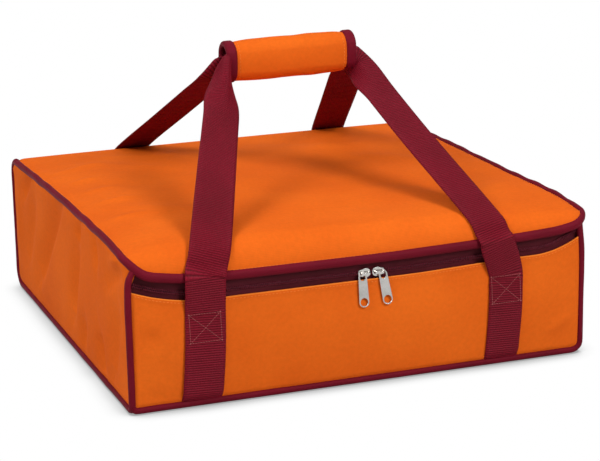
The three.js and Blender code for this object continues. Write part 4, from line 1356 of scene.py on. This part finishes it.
# Webbing: ribbed straps sewn to the bag, that rise and fold double into the grip
web = {
    "width": 0.038,
    "thickness": 0.0019,
    "stand": 0.0004,  # clear of what it lies on
    "ribPitch": 0.0022,
    "ribHeight": 0.0003,
    "rowStep": 0.00045,
    "columns": 15,
    "edgeThin": 0.6,  # share of the thickness that is lost at both edges
    "foldAngle": 86,
    "foldSharp": 0.16,
    "ease": 0.0009,
    "footTuck": (0.0005, 0.003),  # out from the foot piping and up
    "sewnFrom": 0.010,  # above the foot piping
    "roundTrim": 0.0025,
    "onBack": 0.9,  # share of the back's bulge that is under a strap
    "rearStand": 0.0012,
    "mouthApart": 0.003,
    "settled": 0.6,  # share of a leg's rise that is left inside the grip
    "closedBy": 0.7,  # share of the way into the grip where a leg lies folded double
    "earlyBy": 0.85,
    "bend": (0.008, 0.014),
    "gripGap": 0.001,
    "frontRoll": (20, 38, 56),  # degrees up the lid's roll that the front legs follow
    "rearLift": (4, 62),
    "intoGrip": 0.020,
    # gathered: share of a full fold by the grip; rise: mouth above the grip's middle; lean: start and power;
    # turn: share of the last twist made before the grip; foot: how far the sewn end strays at the foot;
    # out: how far beyond the grip's end the leg turns into it
    "legs": {
        "front_left": {"width": 0.038, "foldFrom": 0.72, "gathered": 0.92, "early": 22, "rise": 0.001,
                       "lean": (2, 1.0), "turn": 1.0, "foot": -0.005, "out": 0.0},
        "front_right": {"width": 0.0345, "foldFrom": 0.80, "gathered": 0.45, "early": 0, "rise": -0.012,
                        "lean": (0, 0.80), "turn": 0.0, "foot": -0.004, "out": 0.003},
        "rear_left": {"width": 0.038, "foldFrom": 0.90, "gathered": 0.4, "early": 0, "rise": -0.015,
                      "lean": (-1, 1.0), "turn": 1.0, "foot": 0.0, "out": 0.003},
        "rear_right": {"width": 0.038, "foldFrom": 0.88, "gathered": 0.4, "early": 0, "rise": -0.014,
                       "lean": (0, 1.0), "turn": 1.0, "foot": 0.0, "out": 0.003},
    },
}


def foldedSection(fold, width):
    s = np.linspace(-1, 1, web["columns"])
    heading = fold * math.radians(web["foldAngle"]) * np.tanh(s / web["foldSharp"])
    step = width / (web["columns"] - 1)
    a = np.concatenate([[0], np.cumsum(np.cos((heading[1:] + heading[:-1]) / 2) * step)])
    b = np.concatenate([[0], np.cumsum(np.sin((heading[1:] + heading[:-1]) / 2) * step)])
    return a - (a[0] + a[-1]) / 2, b - (b.max() + b.min()) / 2, heading, s


def strapAlong(name, path, fold, across, twist, width):
    count = len(path)
    forward = unit(np.gradient(path, axis=0))
    across = unit(across - forward * np.sum(across * forward, axis=1, keepdims=True))
    up = np.cross(forward, across)
    turned = across * np.cos(twist)[:, None] + up * np.sin(twist)[:, None]
    up = up * np.cos(twist)[:, None] - across * np.sin(twist)[:, None]
    across = turned
    run = along(path)
    rib = web["ribHeight"] * np.cos(2 * math.pi * run / web["ribPitch"])
    cols = web["columns"]
    top = np.zeros((count, cols, 3))
    low = np.zeros((count, cols, 3))
    for i in range(count):
        a, b, heading, s = foldedSection(fold[i], width)
        thick = web["thickness"] / 2 * (1 - web["edgeThin"] * np.abs(s) ** 10)
        na, nb = -np.sin(heading), np.cos(heading)
        wavy = rib[i] * (1 - np.abs(s) ** 8)
        for grid, sign in ((top, 1), (low, -1)):
            pa = a + sign * na * (thick + wavy * sign)
            pb = b + sign * nb * (thick + wavy * sign)
            grid[i] = path[i] + pa[:, None] * across[i] + pb[:, None] * up[i]
    rings = np.concatenate([low, top[:, ::-1]], axis=1)
    sides = rings.shape[1]
    u = np.concatenate([np.linspace(0, width, cols), np.linspace(width, 0, cols), [0]])
    caps = []
    for first, turnedRound in ((0, True), ((count - 1) * sides, False)):
        for k in range(cols - 1):
            cap = [first + k, first + k + 1, first + sides - 2 - k, first + sides - 1 - k]
            caps.append(cap if turnedRound else cap[::-1])
    piece = tubePiece(name, rings, u, run, caps, maroonWeb)
    return piece


def lidRoll(x, degrees):
    yEdge, zEdge = trimAtX(x)
    phi = np.radians(np.asarray(degrees, float))
    height = lidTop(x, yEdge + lid["roll"]) - zEdge
    face = np.stack([yEdge + lid["roll"] * (1 - np.cos(phi)), zEdge + height * np.sin(phi)], axis=1)
    outward = np.stack([-height * np.cos(phi), lid["roll"] * np.sin(phi)], axis=1)
    return face, unit(outward)


def backBow(z):
    return wrap["backBulge"] * np.sin(math.pi * z / rearZ) * web["onBack"]


def legLine(side, isFront):
    end = "front" if isFront else "rear"
    name = "left" if side < 0 else "right"
    leg = web["legs"][f"{end}_{name}"]
    leanFrom, leanPower = leg["lean"]
    low, high = nodeBox(f"{end}_{name}_webbing")
    baseX = (low[0] + high[0]) / 2
    half = web["thickness"] / 2 + web["stand"]
    entryX = gripLow[0] if side < 0 else gripHigh[0]
    entryY, entryZ = nodeMiddle(f"{end}_grip_webbing")[1:]
    if isFront:
        out, up = web["footTuck"]
        foot = [(pipeFrontY - out, pipeZ + up)]
        zs = np.linspace(pipeZ + web["sewnFrom"], high[2], 8)
        flat = [(float(frontFace(np.array(baseX), np.array(z))) - half, z) for z in zs]
        trimAtLeg = trimAtX(baseX)[1]
        over = trimY - trim["frontHalf"][1] - half - web["ease"] / 2
        wrapRound = [(over, trimAtLeg - web["roundTrim"]), (over, trimAtLeg + web["roundTrim"])]
        face, outward = lidRoll(baseX, web["frontRoll"])
        roll = face + outward * (half + web["ease"])
        line = foot + flat + wrapRound + [tuple(p) for p in roll]
        upright = len(foot + flat) - 1 + leanFrom
    else:
        zs = np.linspace(low[2], high[2], 6)
        flat = [(backY + half + bow, z) for bow, z in zip(backBow(zs), zs)]
        flat += [(backY + half + web["rearStand"], (high[2] + rearZ) / 2)]
        foldMiddle = (backY - foldRadius, rearZ - foldRadius)
        roll = arcPoints(foldMiddle, foldRadius + half + web["ease"], web["rearLift"], 4)
        line = flat + [tuple(p) for p in roll]
        upright = len(flat) - 1 + leanFrom
    lift = np.array(line[-1])
    apart = -web["mouthApart"] if isFront else web["mouthApart"]
    mouth = np.array([entryY + apart, entryZ + leg["rise"]])
    line += [tuple(lift + (mouth - lift) * t) for t in (0.5, 0.84)] + [tuple(mouth)]
    line = np.array(line)
    steps = np.linalg.norm(np.diff(line, axis=0), axis=1)
    steps[:upright] = 0
    lean = (np.concatenate([[0], np.cumsum(steps)]) / steps.sum()) ** leanPower
    x = baseX + (entryX + side * leg["out"] - baseX) * lean
    x += leg["foot"] * np.clip(1 - line[:, 1] / high[2], 0, 1)
    points = np.stack([x, line[:, 0], line[:, 1]], axis=1)
    settled = web["settled"] * leg["rise"]
    inside = [[entryX - side * t * web["intoGrip"], entryY, entryZ + settled * (1 - t)]
              for t in (0.2, 0.6, 1.0)]
    return resample(splinePath(np.vstack([points, inside])), web["rowStep"]), high[2]


def addStraps():
    for side in (-1, 1):
        for isFront in (True, False):
            name = ("front" if isFront else "rear") + ("_left" if side < 0 else "_right")
            leg = web["legs"][name]
            path, sewnTop = legLine(side, isFront)
            run = along(path)
            start = run[np.argmax(path[:, 2] > sewnTop)]
            free = np.clip((run - start) / (run[-1] - web["intoGrip"] - start), 0, 1)
            into = smooth((run - run[-1] + web["intoGrip"]) / (web["closedBy"] * web["intoGrip"]))
            fold = leg["gathered"] * smooth((free - leg["foldFrom"]) / (1 - leg["foldFrom"]))
            fold = fold + (1 - fold) * into
            level = np.array([1.0, 0, 0])[None] * (1 - fold)[:, None]
            across = level + np.array([0, 0, float(side)])[None] * fold[:, None]
            quarter = math.radians(90) * (1 if isFront else -1) * side
            twist = quarter * (leg["turn"] * fold + (1 - leg["turn"]) * into)
            twist += math.radians(leg["early"]) * smooth(free / web["earlyBy"]) * (1 - into)
            strap = strapAlong(f"{name}_strap_web", path, fold, across, twist, leg["width"])
            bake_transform(strap)
            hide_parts(f"{name}_webbing", f"{name}_strap")
    for end in ("front", "rear"):
        y, z = nodeMiddle(f"{end}_grip_webbing")[1:]
        reach = web["intoGrip"] + web["gripGap"]
        path = resample([[gripLow[0] + reach, y, z], [gripHigh[0] - reach, y, z]], web["rowStep"])
        full = np.ones(len(path))
        across = np.tile([0, 0, 1.0], (len(path), 1))
        strap = strapAlong(f"{end}_web_in_grip", path, full, across, full * math.radians(90), web["width"])
        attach(strap, "grip")
        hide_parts(f"{end}_grip_webbing")


addStraps()
print("webbing made")


# Grip: a padded wrap with bound ends, folded over the top; the flap closes low at the rear
grip = {
    "half": (0.015, 0.0197),  # half width and half height of the wrap
    "lift": 0.0006,
    "tilt": 0.012,  # it hangs a little higher on the right
    "flatness": 0.35,  # how soon the sides turn into the round top and foot
    "pad": 0.004,
    "puff": 0.0016,
    "padSunk": 0.0006,  # at the bindings
    "padOver": 0.001,  # the pad's ends lie under the bindings
    "waver": [(0.0004, 0.025), (0.0003, 0.012)],  # height and wave, coarse and fine
    "binding": 0.0108,
    "bindingIn": 0.0052,
    "bindingProud": 0.0011,
    "bindingRound": 0.0029,
    "frontFrom": 327.0,  # degrees: the front runs from low at the rear, underneath, to past the top fold
    "frontTo": 62.0,
    "flapTo": -32.0,
    "tongue": (-14.0, -62.0),
    "tongueOut": 0.0020,
    "tongueThick": 0.0024,
    "tongueRound": 0.001,
    "tongueInset": 0.004,
    "tongueHeel": (0.0036, 0.3),  # its upper end sinks this far into the flap, over this angle
    "tapes": (-38.0, -59.0),
    "tapeOut": {"hook": 0.0004, "loop": 0.0012},
    "tapeThick": 0.0007,
    "tapeRound": 0.0003,
    "tapeInset": 0.006,
    "steps": {"front": 150, "flap": 60, "tongue": 40, "tape": 20},
    "foldToward": (0.85, 0.53),
    "foldBlend": (0.0050, 0.0117),
}
gripZ = gripMid[2] + grip["lift"]


def gripPoints(x, angle, out):
    half, tall = grip["half"]
    lift = (tall - half) * np.clip(np.sin(angle) / grip["flatness"], -1, 1)
    y = gripY + (half + out) * np.cos(angle)
    z = gripZ + (half + out) * np.sin(angle) + lift + grip["tilt"] * (x - gripMid[0])
    return np.stack([x, y, z], axis=1)


# A band round the grip whose section is an outline in x and outward distance
def gripBand(name, outline, start, stop, material, slotName, shape, steps):
    outline = np.asarray(outline, float)
    rings = []
    for angle in np.radians(np.linspace(start, stop, steps)):
        out = outline[:, 1] if shape is None else shape(outline[:, 0], outline[:, 1], angle)
        rings.append(gripPoints(outline[:, 0], angle, out))
    rings = np.array(rings)
    u = along(np.vstack([outline, outline[:1]]))
    caps = [cap[::-1] for cap in endCaps(*rings.shape[:2])]
    piece = tubePiece(name, rings, u, along(rings[:, 0]), caps, material)
    return piece


def roundedOutline(x0, x1, low, high, radius, steps=5):
    corners = ((x1 - radius, high - radius, 0), (x0 + radius, high - radius, 90),
               (x0 + radius, low + radius, 180), (x1 - radius, low + radius, 270))
    points = []
    for cx, cy, start in corners:
        points += [tuple(p) for p in arcPoints((cx, cy), radius, (start, start + 90), steps)]
    return points


def padOutline(x0, x1, low, high):
    xs = np.linspace(x1, x0, 60)
    return [(x, high) for x in xs] + [(x, low) for x in xs[::-1]]


def padShape(x, out, angle):
    x0, x1 = gripLow[0] + grip["binding"], gripHigh[0] - grip["binding"]
    t = (x - x0) / (x1 - x0)
    swell = grip["puff"] * (1 - np.abs(2 * t - 1) ** 6) - grip["padSunk"]
    girth = np.full_like(x, angle * grip["half"][0])
    (high, wave), (fineHigh, fineWave) = grip["waver"]
    waver = high * ripple(x, girth, 71, wave) + fineHigh * ripple(0.4 * x, girth, 72, fineWave)
    return np.where(out > -grip["pad"] / 2, out + swell + waver * (1 - np.abs(2 * t - 1) ** 8), out)


def addGrip():
    x0, x1 = gripLow[0], gripHigh[0]
    pad0, pad1 = x0 + grip["binding"] - grip["padOver"], x1 - grip["binding"] + grip["padOver"]
    outline = padOutline(pad0, pad1, -grip["pad"], 0)
    steps = grip["steps"]

    def foldOver(piece):
        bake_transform(piece)

    pad = gripBand("grip_pad_front", outline, grip["frontFrom"], grip["frontTo"], orangeCloth,
                   "orange_cloth", padShape, steps["front"])
    foldOver(pad)
    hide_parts("grip_front_pad")
    flap = gripBand("grip_pad_flap", outline, grip["frontTo"] - 1, grip["flapTo"], orangeCloth,
                    "orange_cloth", padShape, steps["flap"])
    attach(flap, "grip_flap")
    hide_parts("grip_flap")
    inset, out = grip["tongueInset"], grip["tongueOut"]
    section = roundedOutline(pad0 + inset, pad1 - inset, out, out + grip["tongueThick"], grip["tongueRound"])
    heel = math.radians(grip["flapTo"])
    sunk, turn = grip["tongueHeel"]
    tongue = gripBand("grip_tongue", section, *grip["tongue"], orangeCloth, "orange_cloth",
                      lambda x, out, angle: out - sunk * smooth((angle - heel) / turn), steps["tongue"])
    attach(tongue, "grip_flap")
    inset, thick = grip["tapeInset"], grip["tapeThick"]
    for kind, body, holder in (("hook", "grip", "grip"), ("loop", "grip_flap", "flap")):
        out = grip["tapeOut"][kind]
        section = roundedOutline(pad0 + inset, pad1 - inset, out, out + thick, grip["tapeRound"], 3)
        piece = gripBand(f"{holder}_{kind}_tape", section, *grip["tapes"], hookTape, "hook_and_loop", None,
                         steps["tape"])
        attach(piece, body)
        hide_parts(f"{holder}_{kind}_strip")
    for name, a, b in (("left", x0, x0 + grip["binding"]), ("right", x1 - grip["binding"], x1)):
        section = roundedOutline(a, b, -grip["bindingIn"], grip["bindingProud"], grip["bindingRound"], 7)
        piece = gripBand(f"grip_binding_{name}", section, grip["frontFrom"], grip["frontTo"], maroonBinding,
                         "maroon_binding", None, steps["front"])
        foldOver(piece)
        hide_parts(f"grip_{name}_binding")
        piece = gripBand(f"flap_binding_{name}", section, grip["frontTo"] - 0.6, grip["flapTo"],
                         maroonBinding, "maroon_binding", None, steps["flap"])
        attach(piece, "grip_flap")
        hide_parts(f"flap_{name}_binding")


addGrip()
print("grip made")


# Foil lining of the tub
tub = {
    "corner": 0.014,
    "foot": 0.006,  # height of the turn from floor to wall
    "floorShare": (0.02, 0.97),  # the floor's rings, as shares of the outline
    "crinkle": (0.0007, 0.03),  # height and wave
    "thickness": 0.001,
    "inset": 0.0005,
    "lift": 0.001,
    "step": 0.007,
    "frontHigh": 0.098,  # the front wall ends under the zip
    "climb": (0.003, 0.017),  # behind the front, and over this depth, the rim climbs to full height
}


def addLining():
    low, high = nodeBox("tub_floor_lining")[0], nodeBox("tub_back_lining")[1]
    inset, r = tub["inset"], tub["corner"]
    x1, y0, y1 = nodeBox("tub_right_lining")[1][0] - inset, low[1] + inset, high[1] - inset
    corners = ((x1 - r, y1 - r, 0), (-x1 + r, y1 - r, 90), (-x1 + r, y0 + r, 180), (x1 - r, y0 + r, 270))
    outline = np.vstack([arcPoints(c[:2], r, (c[2], c[2] + 90), 9) for c in corners])
    outline = np.vstack([outline, outline[:1]])
    ring = resample(np.column_stack([outline, np.zeros(len(outline))]), tub["step"])[:-1, :2]
    centre = np.array([0, (y0 + y1) / 2])
    behind, depth = tub["climb"]
    rim = tub["frontHigh"] + (high[2] - tub["frontHigh"]) * smooth((ring[:, 1] - y0 - behind) / depth)
    floorZ, foot = low[2] + tub["lift"], tub["foot"]
    inner, outer = tub["floorShare"]

    def ringAt(share, z):
        return np.column_stack([centre + (ring - centre) * share, np.broadcast_to(z, len(ring))])

    rows = [ringAt(share, floorZ) for share in np.linspace(inner, outer, 26)]
    rows += [ringAt(outer + (1 - outer) * math.sin(angle), floorZ + foot * (1 - math.cos(angle)))
             for angle in np.linspace(0, math.pi / 2, 8)[1:]]
    rows += [ringAt(1, floorZ + foot + (rim - floorZ - foot) * t) for t in np.linspace(0, 1, 20)[1:]]
    grid = np.array(rows)
    grid = np.concatenate([grid, grid[:, :1]], axis=1)
    height, wave = tub["crinkle"]
    x, y, z = np.moveaxis(grid, 2, 0)
    crinkle = height * ripple(x + z, y - z, 81, wave, 9)
    crinkle[:, -1] = crinkle[:, 0]
    grid = grid[:, ::-1]  # so that the faces look into the tub
    grid = grid + gridNormals(grid) * np.abs(crinkle)[:, :, None]
    piece = clothPanel("tub_lining", grid, tub["thickness"], foil)
    mergeDoubles(piece.data, outward=False)
    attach(piece, "root")
    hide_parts(*[f"tub_{wall}_lining" for wall in ("floor", "front", "back", "left", "right")])


addLining()
print("lining made")


# Stitches
thread = {
    "pitch": 0.0034, "half": (0.00125, 0.00030, 0.00030), "panelDrop": 0.0017,
    "crossPitch": 0.0023, "crossHalf": (0.00105, 0.00023, 0.00023),
    "boxHalf": 0.0147, "boxLow": 0.0625, "boxHigh": 0.088,
    "inset": 0.006, "lift": 0.0001,
    "lidStart": 4, "lidRow": -3, "lidColumn": 9,  # the lid's rows and columns that run beside the trim
    "gripAngles": (250, 100), "gripAway": 0.0026,
}


def crossBox(middle, depthAt):
    left, right = middle - thread["boxHalf"], middle + thread["boxHalf"]
    low, high = thread["boxLow"], thread["boxHigh"]
    corner = [np.array(place) for place in ((left, low), (right, low), (right, high), (left, high))]
    pairs = [(corner[i], corner[(i + 1) % 4]) for i in range(4)] + [corner[0::2], corner[1::2]]
    lines = []
    for a, b in pairs:
        flat = a + (b - a) * np.linspace(0, 1, 12)[:, None]
        lines.append(np.column_stack([flat[:, 0], depthAt(flat[:, 1]), flat[:, 1]]))
    return lines


def addStitches():
    xs = np.linspace(-pipeX + thread["inset"], pipeX - thread["inset"], 300)
    z = hemZ(xs) - thread["panelDrop"]
    y = frontFace(xs, z) - front["hemProud"] - thread["lift"]
    line = np.stack([xs, y, z], axis=1)
    piece = repeated("front_hem_stitches", [line], thread["pitch"], thread["half"], orangeThread)
    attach(piece, "root")

    start, row, column = thread["lidStart"], thread["lidRow"], thread["lidColumn"]
    middle = lidSkin.shape[1] // 2
    halves = {
        -1: np.vstack([lidSkin[start:row, column], lidSkin[row, column:middle]]),
        1: np.vstack([lidSkin[start:row, -1 - column], lidSkin[row, -1 - column:middle:-1]]),
    }
    for side, name in ((-1, "left"), (1, "right")):
        piece = repeated(f"lid_edge_stitches_{name}", [halves[side]], thread["pitch"], thread["half"],
                         orangeThread)
        liftLid(piece)

    crosses = []
    stand = web["thickness"] + web["stand"] + web["ribHeight"]
    for name in ("left", "right"):
        mid = nodeMiddle(f"front_{name}_webbing")[0] + web["legs"][f"front_{name}"]["foot"] / 4
        crosses += crossBox(mid, lambda z, x=mid: frontFace(np.full_like(z, x), z) - stand)
        crosses += crossBox(nodeMiddle(f"rear_{name}_webbing")[0], lambda z: backY + backBow(z) + stand)
    piece = repeated("cross_stitches", crosses, thread["crossPitch"], thread["crossHalf"], roseThread)
    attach(piece, "root")

    angles = np.radians(np.linspace(*thread["gripAngles"], 60))
    rounds = []
    away = grip["binding"] + thread["gripAway"]
    for x in (gripLow[0] + away, gripHigh[0] - away):
        out = np.array([padShape(np.array([x]), np.zeros(1), angle)[0] for angle in angles])
        rounds.append(gripPoints(np.full(len(angles), x), angles, out + thread["lift"]))
    piece = repeated("grip_stitches", rounds, thread["pitch"], thread["half"], orangeThread)
    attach(piece, "grip")


addStitches()
print("stitches made")
